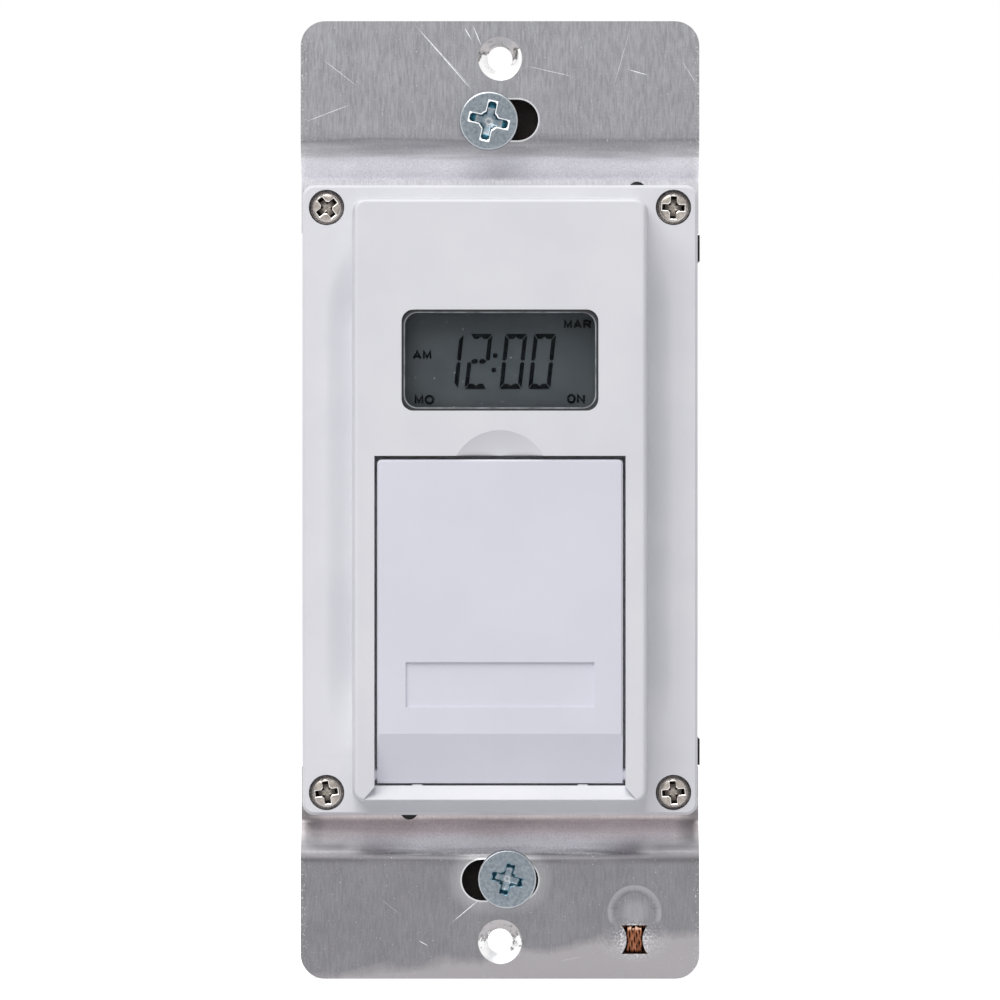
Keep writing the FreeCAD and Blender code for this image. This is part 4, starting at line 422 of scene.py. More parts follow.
# Ground display glass, harder and a little cleaner.
clearMoulding("cutDisplayGlass", "#232826", "#2C312F", 2.0, 0.05, 0.03, 1.52)

boardLook = {
    "mask": "#14522F",
    "copper": "#1C6840",
    "tin": "#B9BBBA",
    "track": 1.1,
    "pitch": 3.4,
    "weave": 0.5,
}


def circuitBoard(look):
    # Glass fibre board under a green solder mask. The eye sees copper tracks as a paler green grid of
    # lines under the mask, tinned dots, and the weave as a slight unevenness.
    tree, place = newMaterial("solderMaskedGlassFibreBoard")
    grid = {"Vector": place, "Scale": perMetre / look["track"]}
    tracks = addNode(tree, "TexVoronoi", grid, "Distance", feature="F1", distance="MANHATTAN")
    stops = [(0.0, look["copper"]), (0.42, look["copper"]), (0.46, look["mask"]), (1.0, look["mask"])]
    band = addNode(tree, "ValToRGB", {0: tracks}, stops=stops)
    spread = {"Vector": place, "Scale": perMetre / look["pitch"], "Randomness": 0.35}
    dots = addNode(tree, "TexVoronoi", spread, "Distance", feature="F1")
    tin = addNode(tree, "MapRange", {0: dots, 1: 0.17, 2: 0.14})
    tone = paint(tree, band, look["tin"], (tin, 0.0, 1.0, 1.0))
    weave = addNode(tree, "TexNoise", {0: place, "Scale": perMetre / look["weave"], "Detail": 2.0})
    gloss, inputs = (weave, 0.0, 1.0, 0.25, 0.45), {"IOR": 1.55, "Metallic": tin}
    closeMaterial(tree, tone, gloss, (band, 0.3, 0.02), inputs)


circuitBoard(boardLook)


def stripedMaterial(name, pitch, axis, shift, grain, roughness, stops):
    # Layers or bands across one axis, in the order of the stops, over the pattern's pitch. The shift is
    # the share of the pitch by which they are moved along that axis.
    tree, place = newMaterial(name)
    moved = addNode(tree, "Mapping", {0: place, "Location": (shift,) * 3, "Scale": (perMetre / pitch,) * 3})
    part = addNode(tree, "Math", {0: addNode(tree, "SeparateXYZ", {0: moved}, axis)}, operation="FRACT")
    bands = addNode(tree, "ValToRGB", {0: part}, stops=stops)
    bands.node.color_ramp.interpolation = "CONSTANT"
    grains = addNode(tree, "TexNoise", {0: place, "Scale": perMetre / grain, "Detail": 2.0})
    closeMaterial(
        tree, bands, (grains, 0.0, 1.0, roughness - 0.06, roughness + 0.06), (grains, 0.3, grain * 0.1)
    )


# Elastomer strip of carbon-black and white silicone layers. Its real pitch of 0.1 mm is drawn at 0.4 mm,
# because finer layers run together in the picture.
layers = [(0.0, "#1A1A1C"), (0.5, "#8E8A88")]
stripedMaterial("layeredSiliconeElastomer", 0.4, 0, 0.0, 0.3, 0.6, layers)
# PVC sleeve of the electrolytic cans, with its paler stripe down one side.
stripe = [(0.0, "#15202F"), (0.993, "#A9B2BC")]
stripedMaterial("shrunkDarkPvcSleeve", 30.0, 0, 0.5, 0.4, 0.3, stripe)
# Dipped ceramic coat of a resistor body, with its colour bands.
coat = "#93A79A"
colourBands = [(0.0, coat), (0.18, "#8A5A2A"), (0.27, coat), (0.38, "#1B1B1B"), (0.47, coat),
               (0.58, "#1B1B1B"), (0.67, coat), (0.82, "#B8A04A"), (0.91, coat)]
stripedMaterial("dippedCeramicCoat", 9.0, 2, 0.0, 0.3, 0.5, colourBands)
print("materials made")

keys = ["on_off", "mode", "plus", "minus"]
finishes = {
    "mouldedWhiteAbs": ["front_housing"],
    "mouldedNaturalNylon": ["battery_tray"],
    "mouldedCoolWhiteAbs": ["access_door"],
    "mouldedClearPolycarbonate": ["display_window"],
    "layeredSiliconeElastomer": ["lcd_connector_upper", "lcd_connector_lower"],
    "solderMaskedGlassFibreBoard": ["control_board", "power_board"],
    "mouldedBlackEpoxy": ["microcontroller", "rectifier", "board_header"]
    + [key + part for key in keys for part in ("_switch", "_plunger")],
    "drawnNickelPlatedSteel": ["clock_crystal"],
    "mouldedGreyAbs": [key + "_button" for key in keys],
    "nickelPlatedSpringBrass": ["battery_contact_upper", "battery_contact_lower"],
    "sparkTexturedBlackPolycarbonate": ["rear_housing"],
    "mouldedBluePolyester": ["relay"],
    "mouldedRedPolybutylene": ["film_capacitor"],
    "brushedAluminiumSheet": ["mounting_strap"],
}
for material, names in finishes.items():
    for name in names:
        for place in cadNodes[name].material_slots:
            place.material = bpy.data.materials[material]
print("finishes given to the packed nodes")


def ringShell(rings, tint=0.0, around=False, finish=0):
    # rings[row, column] are points. Each is joined to the next in its row and in its column, and the
    # last column to the first. Around joins the last row to the first as well.
    rows, columns = rings.shape[:2]
    row, column = np.meshgrid(np.arange(rows if around else rows - 1), np.arange(columns), indexing="ij")
    above, beside = (row + 1) % rows, (column + 1) % columns
    corners = [(row, column), (row, beside), (above, beside), (above, column)]
    return {
        "points": rings.reshape(-1, 3),
        "faces": np.stack([down * columns + over for down, over in corners], -1).reshape(-1, 4).tolist(),
        "tint": np.repeat(np.broadcast_to(tint, rows), columns),
        "finish": finish,
    }


def closedRings(rings):
    # The first and last rings are drawn together to their middles, which closes both ends.
    rings = np.asarray(rings)
    ends = [np.broadcast_to(ring.mean(0), ring.shape)[None] for ring in (rings[0], rings[-1])]
    return np.concatenate([ends[0], rings, ends[1]])


def upright(flat, level, x=0.0, z=0.0):
    # Flat (x, z) points, moved by x and z and set at a level along Y.
    return np.column_stack([flat[:, 0] + x, np.full(len(flat), level), flat[:, 1] + z])


meshLook = {
    "weld": 0.0001,  # points nearer together than this become one
    "sharp": 35.0,  # edges that turn by more degrees than this stay sharp
}


def makePiece(name, shells, materials, replaced=(), body="timer_body"):
    # One object from shells of points. Doubled points are merged, so that seams and poles are closed, and
    # faces are turned outwards.
    points = np.concatenate([shell["points"] for shell in shells]) * mm
    starts = np.cumsum([0] + [len(shell["points"]) for shell in shells])
    faces, finish = [], []
    for start, shell in zip(starts, shells):
        faces += [[corner + int(start) for corner in face] for face in shell["faces"]]
        finish += [shell["finish"]] * len(shell["faces"])
    mesh = bpy.data.meshes.new(name)
    mesh.from_pydata(points.tolist(), [], faces)
    mesh.polygons.foreach_set("material_index", finish)
    tint = mesh.attributes.new("tint", "FLOAT", "POINT")
    tint.data.foreach_set("value", np.concatenate([shell["tint"] for shell in shells]))
    work = bmesh.new()
    work.from_mesh(mesh)
    bmesh.ops.remove_doubles(work, verts=work.verts, dist=meshLook["weld"] * mm)
    bmesh.ops.recalc_face_normals(work, faces=work.faces)
    work.to_mesh(mesh)
    work.free()
    mesh.polygons.foreach_set("use_smooth", np.ones(len(mesh.polygons), dtype=bool))
    mesh.set_sharp_from_angle(angle=math.radians(meshLook["sharp"]))
    for material in materials:
        mesh.materials.append(bpy.data.materials[material])
    piece = bpy.data.objects.new(name, mesh)
    bpy.context.scene.collection.objects.link(piece)
    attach(piece, body)
    if replaced:
        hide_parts(*replaced)
    return piece


def revolved(profile, centre, axis="y", columns=48, around=False, finish=0):
    # A profile of (radius, distance along the axis) turned once round an axis through the centre.
    radius, along = np.array(profile, float).T
    angle = np.linspace(0, 2 * np.pi, columns, endpoint=False)
    first, second = np.outer(radius, np.cos(angle)), np.outer(radius, np.sin(angle))
    third = np.repeat(along[:, None], columns, axis=1)
    order = {"y": (first, third, second), "z": (first, second, third)}[axis]
    return ringShell(np.stack(order, -1) + np.array(centre, float), around=around, finish=finish)


def squareTo(ahead):
    # Two directions square to a line's own, the first as near to X as they can be.
    side = np.array([1.0, 0, 0]) - ahead[..., :1] * ahead
    side /= np.linalg.norm(side, axis=-1, keepdims=True)
    return side, np.cross(ahead, side)


def sweep(path, radius, tint=0.0, columns=8):
    # A circle carried along a path, its plane square to the path.
    ahead = np.gradient(path, axis=0)
    ahead /= np.linalg.norm(ahead, axis=1, keepdims=True)
    side, up = squareTo(ahead)
    angle = np.linspace(0, 2 * np.pi, columns, endpoint=False)[None, :, None]
    circle = np.cos(angle) * side[:, None] + np.sin(angle) * up[:, None]
    rings = closedRings(path[:, None] + np.reshape(radius, (-1, 1, 1)) * circle)
    return ringShell(rings, np.pad(np.broadcast_to(tint, len(path)), 1, "edge"))


def roundedOutline(width, height, radius, steps=6):
    # Corner arcs at the four corners of a rectangle, as one closed row of (x, z) points.
    turn = np.linspace(0, np.pi / 2, steps)
    angle = (np.arange(4)[:, None] * np.pi / 2 + turn[None]).ravel()
    middle = np.repeat([[1, 1], [-1, 1], [-1, -1], [1, -1]], steps, axis=0)
    reach = np.array([width / 2 - radius, height / 2 - radius])
    return middle * reach + radius * np.stack([np.cos(angle), np.sin(angle)], -1)


def thinShapes(outlines, front, thick):
    # Flat outlines of (x, z) points, each carried back by the thickness into a thin closed solid.
    shells = []
    for outline in outlines:
        here = np.arange(len(outline))
        beside = (here + 1) % len(here)
        sides = np.stack([here, beside, beside + len(here), here + len(here)], -1).tolist()
        faces = [here.tolist(), (here[::-1] + len(here)).tolist(), *sides]
        points = np.concatenate([upright(outline, level) for level in (-front, thick - front)])
        shells.append({"points": points, "faces": faces, "tint": np.zeros(len(points)), "finish": 0})
    return shells


leadLook = {
    # the points that the lead's line is drawn to: straight back from the stake, down and round under the
    # timer's lower end, then up behind its back
    "route": [
        (14.75, 2.2, -48.95),
        (14.75, 24.0, -48.95),
        (10.5, 40.0, -33.0),
        (1.0, 38.5, 2.0),
        (-7.5, 32.7, 34.0),
    ],
    "diameter": 2.7,
    "length": 112.45,
    "bare": 9.0,  # length of the stripped strands
    "hidden": 0.4,  # how far they reach into the insulation
    "strands": 19,
    "strandRadius": 0.135,
    "bundleRadius": 0.6,
    "layPitch": 14.0,  # one turn of the strands
    "opening": 0.12,  # share by which they open at the tip
}


def leadCurve(name, thick):
    # An open NURBS line with the route's points as its control points.
    curve = bpy.data.curves.new(name, "CURVE")
    curve.dimensions = "3D"
    curve.resolution_u = 24
    line = curve.splines.new("NURBS")
    line.points.add(len(leadLook["route"]) - 1)
    route = np.column_stack([np.array(leadLook["route"]) * mm, np.ones(len(leadLook["route"]))])
    line.points.foreach_set("co", route.ravel())
    line.order_u = 3
    line.use_endpoint_u = True
    curve.bevel_depth = thick * mm
    curve.bevel_resolution = 7
    curve.use_fill_caps = thick > 0
    lead = bpy.data.objects.new(name, curve)
    bpy.context.scene.collection.objects.link(lead)
    return lead


groundLead = leadCurve("groundLead", leadLook["diameter"] / 2)
groundLead.data.materials.append(bpy.data.materials["extrudedGreenPvc"])
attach(groundLead, "timer_body")
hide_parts("ground_lead")

leadLine = leadCurve("leadLine", 0)
lineMesh = bpy.data.meshes.new_from_object(leadLine)
linePoints = np.empty(len(lineMesh.vertices) * 3)
lineMesh.vertices.foreach_get("co", linePoints)
linePoints = linePoints.reshape(-1, 3) / mm
bpy.data.objects.remove(leadLine)
bpy.data.meshes.remove(lineMesh)
leadAhead = linePoints[-1] - linePoints[-2]
leadAhead /= np.linalg.norm(leadAhead)

# Strands lie in the bundle as seeds in a sunflower: the angle grows by the golden angle and the radius
# with the square root of the strand's number.
strandOrder = np.arange(leadLook["strands"])
strandAngle = strandOrder * math.pi * (3 - math.sqrt(5))
strandReach = leadLook["bundleRadius"] * np.sqrt((strandOrder + 0.5) / leadLook["strands"])


def strippedEnd():
    # Each strand winds round the line of the lead at its own radius, and they open a little at the tip.
    along = np.linspace(-leadLook["hidden"], leadLook["bare"], 40)[:, None]
    side, up = squareTo(leadAhead)
    opening = 1 + leadLook["opening"] * np.clip(along / leadLook["bare"], 0, 1) ** 3
    shells = []
    for angle, reach in zip(strandAngle, strandReach):
        turn = angle + 2 * np.pi * along / leadLook["layPitch"]
        offset = reach * opening * (np.cos(turn) * side + np.sin(turn) * up)
        shells.append(sweep(linePoints[-1] + along * leadAhead + offset, leadLook["strandRadius"]))
    return shells


copper = ["drawnCopperStrand"]
strippedStrands = makePiece("strippedStrands", strippedEnd(), copper, ["ground_lead_end"])
print("ground lead laid")

stakeLook = {
    "x": 14.75,
    "corner": 0.4,
    "points": 34,
    # strands in each row, their spacing, distance behind the wall plane, top, turn, radius and tint; the tint
    # paints the rear rows dark as shade in the window's corners
    "rows": [
        (6, 0.27, -0.62, -46.9, -49.2, 0.145, 0.0),
        (6, 0.45, 0.2, -46.35, -49.6, 0.2, 0.75),
        (7, 0.43, 0.5, -46.3, -49.75, 0.21, 0.95),
    ],
    "hidden": 0.3,  # how far they reach into the insulation
    "ragged": 0.12,  # unevenness of their tops
    # depth of the slow wave, its radians per millimetre and what each strand adds to them
    "wave": (0.05, 3.6, 0.35),
    # the tops carry a painted highlight above this height, fading in over this length
    "topHighlight": (-47.25, 0.2),  # the tops are bright above this height, fading in over this length
    "cuts": (0.35, 2.3),  # tint of the dark cuts in the front strands, and their radians per millimetre
    "shifts": (2.4, 2.1, 1.7),  # radians by which tops, waves and cuts move on from strand to strand
}


def stakedStrands():
    # In the window the strands lie side by side in three rows, each with a slow wave, the rear ones
    # fanned out to its corners. At its lower edge they turn back and draw together into the round bundle
    # that enters the insulation.
    _, exitY, exitZ = leadLook["route"][0]
    exitY += stakeLook["hidden"]
    corner, points = stakeLook["corner"], stakeLook["points"]
    deep, pace, step = stakeLook["wave"]
    (dark, cutPace), (brightAt, fade) = stakeLook["cuts"], stakeLook["topHighlight"]
    angle = np.linspace(0, np.pi / 2, 9)[1:]
    back = np.linspace(0, 1, 12)[1:]
    shells = []
    for count, spread, start, top, turn, radius, rowShade in stakeLook["rows"]:
        for column in range(count):
            order = len(shells)
            lean, reach = strandAngle[order], strandReach[order]
            topShift, waveShift, cutShift = np.array(stakeLook["shifts"]) * order
            down = np.linspace(top + stakeLook["ragged"] * math.sin(topShift), turn, points)
            foot = np.full(len(back), turn - corner)
            z = np.concatenate([down, turn - corner * np.sin(angle), foot + (exitZ - foot) * back])
            bend, run = start + corner * (1 - np.cos(angle)), start + corner
            y = np.concatenate([np.full(points, start), bend, run + (exitY - start - corner) * back])
            share = np.concatenate([np.zeros(points + len(angle)), back])
            share = share * share * (3 - 2 * share)
            fan = (column - (count - 1) / 2) * spread
            wave = deep * np.sin(z * (pace + step * column) + waveShift)
            x = stakeLook["x"] + (1 - share) * (fan + wave) + share * reach * math.cos(lean)
            path = np.column_stack([x, y, z + share * reach * math.sin(lean)])
            thick = radius + (leadLook["strandRadius"] - radius) * share
            # The rear rows' tint paints them dark as shade, and the tops above a height get a painted
            # highlight.
            topHighlight = np.clip((z - brightAt) / fade, 0, 1) * (1 - rowShade)
            cuts = dark * np.sin(z * cutPace + cutShift) * (rowShade == 0)
            shells.append(sweep(path, thick, rowShade - topHighlight + np.maximum(cuts, 0) * (1 - topHighlight)))
    return shells


makePiece("stakedStrands", stakedStrands(), copper, ["ground_conductor"])
print("ground strands staked")


def crossOutline(angle, arm, half, core):
    # Distance from the axis to the edge of a four-armed recess: the nearer of an arm's end and its side,
    # and never less than the round core between the arms.
    near = (angle + np.pi / 4) % (np.pi / 2) - np.pi / 4
    straight = np.minimum(arm / np.cos(near), half / np.maximum(np.abs(np.sin(near)), 1e-6))
    return np.maximum(straight, core)


def crossScrew(look, x, z, turn):
    # Rows of rings from the tip to the middle of the recess. On the shank the radius follows a triangle
    # wave of depth over pitch plus angle over a turn, which is the thread. The columns crowd at the
    # corners of the arms.
    corner = math.atan2(look["half"], look["arm"])
    flank = np.radians([24, 31, 38])
    arm = corner * np.array([-1.15, -1, -0.5, 0, 0.5, 1, 1.15])
    part = np.concatenate([[-np.pi / 4], -flank[::-1], arm, flank])
    angle = (np.arange(4)[:, None] * np.pi / 2 + part[None]).ravel()
    rows, tint = [], [0.0]
    count = int((look["tip"] - look["start"]) / look["pitch"] * look["rows"])
    for depth in np.linspace(look["tip"], look["start"], count):
        phase = depth / look["pitch"] + angle / (2 * np.pi)
        wave = 2 * np.abs(phase - np.floor(phase + 0.5))
        taper = min(1.0, look["point"] + look["growth"] * (look["tip"] - depth) / look["pitch"])
        rows.append((depth, (look["root"] + (look["crest"] - look["root"]) * wave) * taper))
        tint.append(0.0)
    for radius, front, shade in look["profile"]:
        rows.append((-front, np.full(len(angle), radius)))
        tint.append(shade)
    for arm, half, core, front, deep in look["recess"]:
        ragged = 1 + look["rough"] * np.sin(9 * angle + 11 * front) * np.sin(5 * angle + 1.0)
        rows.append((-front, ragged * crossOutline(angle, arm, half, core)))
        tint.append(deep)
    lean = angle + math.radians(turn)
    ways = np.stack([np.cos(lean), np.sin(lean)], -1)
    rings = [upright(radius[:, None] * ways, depth, x, z) for depth, radius in rows]
    return ringShell(closedRings(rings), [*tint, look["pit"]])


screwLook = {
    "rows": 8,  # to one turn of the thread
    "point": 0.62,  # share of the thread's radius at the tip
    "growth": 0.5,  # of that share in one turn
    "rough": 0.0,
}
boxScrewLook = {
    **screwLook,
    # arm and half width that the columns are set out for
    "arm": 2.27, "half": 0.55,
    "pitch": 0.794, "root": 1.32, "crest": 1.75,
    # where the thread ends and starts behind the wall plane, and the tint of the middle of the recess
    "tip": 19.1, "start": 1.0, "pit": 0.2,
    # radius, front and tint from the shank to the middle of the head; the tint paints shade on the head's
    # side and a highlight along its rim
    "profile": [(1.5, -1.0, 0.0), (1.5, 1.4, 0.0), (3.08, 1.4, 0.3), (3.2, 1.52, 0.3), (3.2, 2.45, 0.2),
                (3.17, 2.6, -0.5), (3.11, 2.67, -0.5), (3.02, 2.7, 0.0), (2.9, 2.7, 0.0)],
    # arm, half width, core radius, front and tint at each level of the recess; the tint paints highlights on
    # its lips and dark reflections on the walls at the arms' ends
    "recess": [(2.3, 0.58, 1.16, 2.70, 0.0), (2.27, 0.56, 1.13, 2.70, -1.0), (2.14, 0.47, 1.02, 2.63, -1.0),
               (2.1, 0.45, 1.0, 2.45, 0.9), (1.55, 0.42, 0.9, 1.78, 0.9), (1.42, 0.40, 0.86, 1.74, -0.15),
               (0.75, 0.38, 0.62, 1.6, 0.3), (0.3, 0.2, 0.3, 1.5, -0.3)],
}
# The lower screw's recess is smaller, and rough where the driver slipped, and its lips carry painted shade
# where the other's carry a painted highlight.
roughScrewLook = {
    **boxScrewLook,
    "recess": [
        (arm * 0.8, half * 0.95, core * 0.86, front, 0.5 if deep < -0.5 else deep)
        for arm, half, core, front, deep in boxScrewLook["recess"]
    ],
    "rough": 0.09,
}
zinc = ["bluePassivatedZincSteel"]
for name, look, x, z, turn in (
    ("top", boxScrewLook, -1.23, 41.5, -13.0),
    ("bottom", roughScrewLook, 0.78, -41.5, -14.0),
):
    screw, replaced = crossScrew(look, x, z, turn), [name + "_mounting_screw"]
    makePiece(name + "BoxScrew", [screw], zinc, replaced, name + "_screw")

caseScrewLook = {
    **screwLook,
    "arm": 1.28, "half": 0.33,
    "pitch": 1.0, "root": 0.82, "crest": 1.1,
    "tip": 8.5, "start": -0.2, "pit": 0.45,
    # radius, front and tint of the head and its recess as above; the tints paint a shaded ring on the flank,
    # highlights on the dome and lips, and shade in the recess
    "profile": [(1.0, 0.4, 0.0), (1.1, 0.5, 0.0), (1.72, 0.5, 0.5), (1.84, 0.6, 0.3), (1.87, 0.8, -0.45),
                (1.84, 1.05, -0.65), (1.73, 1.3, -0.3), (1.6, 1.5, 0.0), (1.55, 1.57, -0.9),
                (1.47, 1.63, -0.6), (1.4, 1.68, 0.0)],
    "recess": [(1.34, 0.42, 0.74, 1.70, 0.0), (1.31, 0.40, 0.71, 1.69, -1.0), (1.24, 0.34, 0.64, 1.64, -0.8),
               (1.21, 0.33, 0.62, 1.5, 0.85), (0.9, 0.3, 0.54, 1.05, 0.95), (0.6, 0.28, 0.42, 0.98, 0.85),
               (0.25, 0.15, 0.25, 0.9, 0.2)],
    # x, z and turn of each
    "places": [(-19.0, 32.05, 38.0), (19.0, 32.05, -3.0), (-19.0, -32.05, 8.0), (19.0, -32.05, 5.0)],
}
caseScrewShells = [crossScrew(caseScrewLook, *place) for place in caseScrewLook["places"]]
makePiece("caseScrewSet", caseScrewShells, ["brightNickelSteel"], ["case_screws"])
print("screws cut")

retainerLook = {
    "front": -0.1,
    "thick": 0.8,
    "neck": 1.56,
    "corner": 0.5,
    # name, screw x and z, and the plate's left, right, lower and upper edge
    "plates": [
        ("top", -1.23, 41.5, -6.53, 5.0, 39.25, 45.15),
        ("bottom", 0.78, -41.5, -5.2, 6.08, -45.15, -39.25),
    ],
}


def retainer(x, z, left, right, low, high):
    # A rounded plate with a round hole for the screw's neck: outer and inner edge, front and back, joined
    # in a ring. The hole's points lie in the directions of the outline's points from its axis.
    outer = roundedOutline(right - left, high - low, retainerLook["corner"], 8)
    outer = outer + np.array([(left + right) / 2, (low + high) / 2])
    angle = np.arctan2(outer[:, 1] - z, outer[:, 0] - x)
    inner = retainerLook["neck"] * np.stack([np.cos(angle), np.sin(angle)], -1) + np.array([x, z])
    near, far = -retainerLook["front"], retainerLook["thick"] - retainerLook["front"]
    rings = [(outer, far), (outer, near), (inner, near), (inner, far)]
    return ringShell(np.array([upright(flat, level) for flat, level in rings]), around=True)


fibre = ["punchedVulcanisedFibre"]
for name, *edges in retainerLook["plates"]:
    body = name + "_screw"
    makePiece(name + "Retainer", [retainer(*edges)], fibre, [body + "_retainer"], body)

# Two pegs of the rear housing stand in the strap's tooling holes, and their heads fill them dark.
pegLook = {
    "shank": [(0, 3.0), (0.84, 3.0), (0.84, 1.7), (0, 1.7)],
    "head": [(0, 1.74), (0.98, 1.74), (0.98, 1.64), (0.88, 1.58), (0, 1.58)],
    # x, z and the head's shift along the strap
    "places": [(15.1, 33.8, 0.28), (-10.0, -34.1, -0.12)],
}
pegShells = [revolved(pegLook["shank"], (x, 0, z), "y", 32) for x, z, _ in pegLook["places"]]
pegShells += [revolved(pegLook["head"], (x, 0, z + shift), "y", 32) for x, z, shift in pegLook["places"]]
makePiece("locatingPegs", pegShells, ["sparkTexturedBlackPolycarbonate"])

coveLook = {
    "axis": 16.2,
    "reach": 3.08,  # from the axis to the hollow's outer edge
    "straight": 19.5,  # half of the length at full depth
    "fade": 8.2,  # length over which each end runs out
    "margin": 0.35,
    "front": 2.02,
    "deep": 1.0,
    "thick": 0.03,
    "columns": 36,
    "rows": 150,
}


def coveLiner(side):
    # The soft hollow beside the raised face, a part of the housing's moulding. Its depth follows how far
    # a point lies inside an outline with elliptic ends, by the smooth step of that distance.
    half = coveLook["straight"] + coveLook["fade"] + coveLook["margin"]
    u = np.linspace(0, coveLook["reach"] + coveLook["margin"], coveLook["columns"])[::-1]
    v = np.linspace(-half, half, coveLook["rows"])
    beyond = np.maximum(np.abs(v) - coveLook["straight"], 0) / coveLook["fade"]
    inside = np.clip(1 - np.hypot(beyond[:, None], (u / coveLook["reach"])[None]), 0, 1)
    depth = coveLook["deep"] * inside * inside * (3 - 2 * inside)
    x = side * (coveLook["axis"] + u)
    skin = np.stack(np.broadcast_arrays(x[None], depth - coveLook["front"], v[:, None]), -1)
    under = skin + np.array([0.0, coveLook["thick"], 0.0])
    return ringShell(closedRings(np.concatenate([skin, under[:, ::-1]], axis=1)))


makePiece("flangeHollows", [coveLiner(-1), coveLiner(1)], ["mouldedWhiteAbs"])

thumbLook = {
    "z": 2.1,
    "rim": 5.48,  # radius of the hollow's outline on the face
    "front": 7.51,
    # centre of the ball that forms the skin, ahead of the face, and of the ball that the filling is
    # bedded in, each with how far behind the face it starts
    "balls": [(12.0, 0.0), (2.9, 0.02)],
    "low": 4.82,
    "high": 0.9995,  # share of the rim that the last row reaches, so that it keeps some width
    "columns": 40,
    "rows": 24,
}


def thumbHollow():
    # A shallow ball-shaped hollow above the door. Each row runs across from rim to rim, and the depth is
    # a ball's, which is nothing on the rim.
    rim = thumbLook["rim"]
    z = np.linspace(thumbLook["low"] - thumbLook["z"], rim * thumbLook["high"], thumbLook["rows"])
    across = np.sin(np.linspace(-np.pi / 2, np.pi / 2, thumbLook["columns"]))[None]
    z = z[:, None]
    x = np.sqrt(rim**2 - z**2) * across
    sides = []
    for raised, lift in thumbLook["balls"]:
        level = thumbLook["front"] - lift + raised - np.sqrt(rim**2 + raised**2 - (x**2 + z**2))
        sides.append(np.stack(np.broadcast_arrays(x, -level, z + thumbLook["z"]), -1))
    return ringShell(closedRings(np.concatenate([sides[0], sides[1][:, ::-1]], axis=1)))


makePiece("thumbHollow", [thumbHollow()], ["mouldedWhiteAbs"])
print("retainers and hollows fitted")

displayLook = {
    "x": 0.0,
    "z": 15.2,
    "wide": 25.4,
    "high": 13.4,
    "ledge": 9.4,  # height of the rear glass
    "corner": 0.15,
    "front": 5.1,
    "frontBack": 4.5,  # back of the front glass
    "film": 4.25,  # front of the reflector film
    "rear": 4.0,  # front of the rear glass
    "back": 2.9,
    "inkFront": 4.33,  # of the driven segments
    "digitHigh": 6.0,
    "digitWide": 2.42,
    "stroke": 0.45,
    "bar": 0.56,
    "slant": 6.3,
    "baseline": 12.13,
    "lefts": [-7.02, -3.88, -0.08, 3.06],
    "shown": ["1", "2", "0", "0"],
    "dots": [(-0.52, 15.76), (-0.67, 14.18)],
    "dotSize": (0.5, 0.5, 0.16),
    "thick": 0.03,
}


def displayLayer(high, front, back, bevel, finish=0):
    # A glass or film about the display's middle: its rounded outline carried from back to front, and
    # drawn in by the bevel at both faces.
    rings = []
    for level, inset in [(back, bevel), (back + bevel, 0), (front - bevel, 0), (front, bevel)]:
        size, corner = (displayLook["wide"] - 2 * inset, high - 2 * inset), displayLook["corner"] - inset
        rings.append(upright(roundedOutline(*size, corner), -level, displayLook["x"], displayLook["z"]))
    return ringShell(closedRings(rings), finish=finish)


high, front, film, rear, back = (displayLook[name] for name in ("high", "front", "film", "rear", "back"))
frontGlass = displayLayer(high, front, displayLook["frontBack"], 0.05)
makePiece("displayFrontGlass", [frontGlass], ["cutDisplayGlass"])
behind = [displayLayer(high, film, rear, 0.04), displayLayer(displayLook["ledge"], rear, back, 0.05, 1)]
behindFinish = ["polarisedReflectorFilm", "cutDisplayGlass"]
makePiece("displayReflector", behind, behindFinish, ["lcd_panel"])

windowLook = {
    "wide": 21.42,
    "high": 11.02,
    "corner": 1.75,
    "front": 7.02,
    "thick": 0.05,
    # the dark band is painted shadow, the bright one a painted highlight
    "dark": 0.25,  # width of the dark band, and of the bright one inside it
    "light": 0.12,
}


def windowBand(inset, wide, finish):
    # A flat band that follows the window's outline at an inset.
    rings = []
    for reach, front in ((0, 0), (0, 1), (wide, 1), (wide, 0)):
        gone = inset + reach
        size = windowLook["wide"] - 2 * gone, windowLook["high"] - 2 * gone
        flat = roundedOutline(*size, windowLook["corner"] - gone, 10)
        level = front * windowLook["thick"] - windowLook["front"]
        rings.append(upright(flat, level, displayLook["x"], displayLook["z"]))
    return ringShell(np.array(rings), around=True, finish=finish)


# The window's edge is drawn as two thin bands: painted shadow outside, painted highlight inside.
bands = [windowBand(0.0, windowLook["dark"], 0), windowBand(windowLook["dark"], windowLook["light"], 1)]
makePiece("windowShadowAndHighlight", bands, ["mouldedWindowSide", "mouldedWindowBevel"])


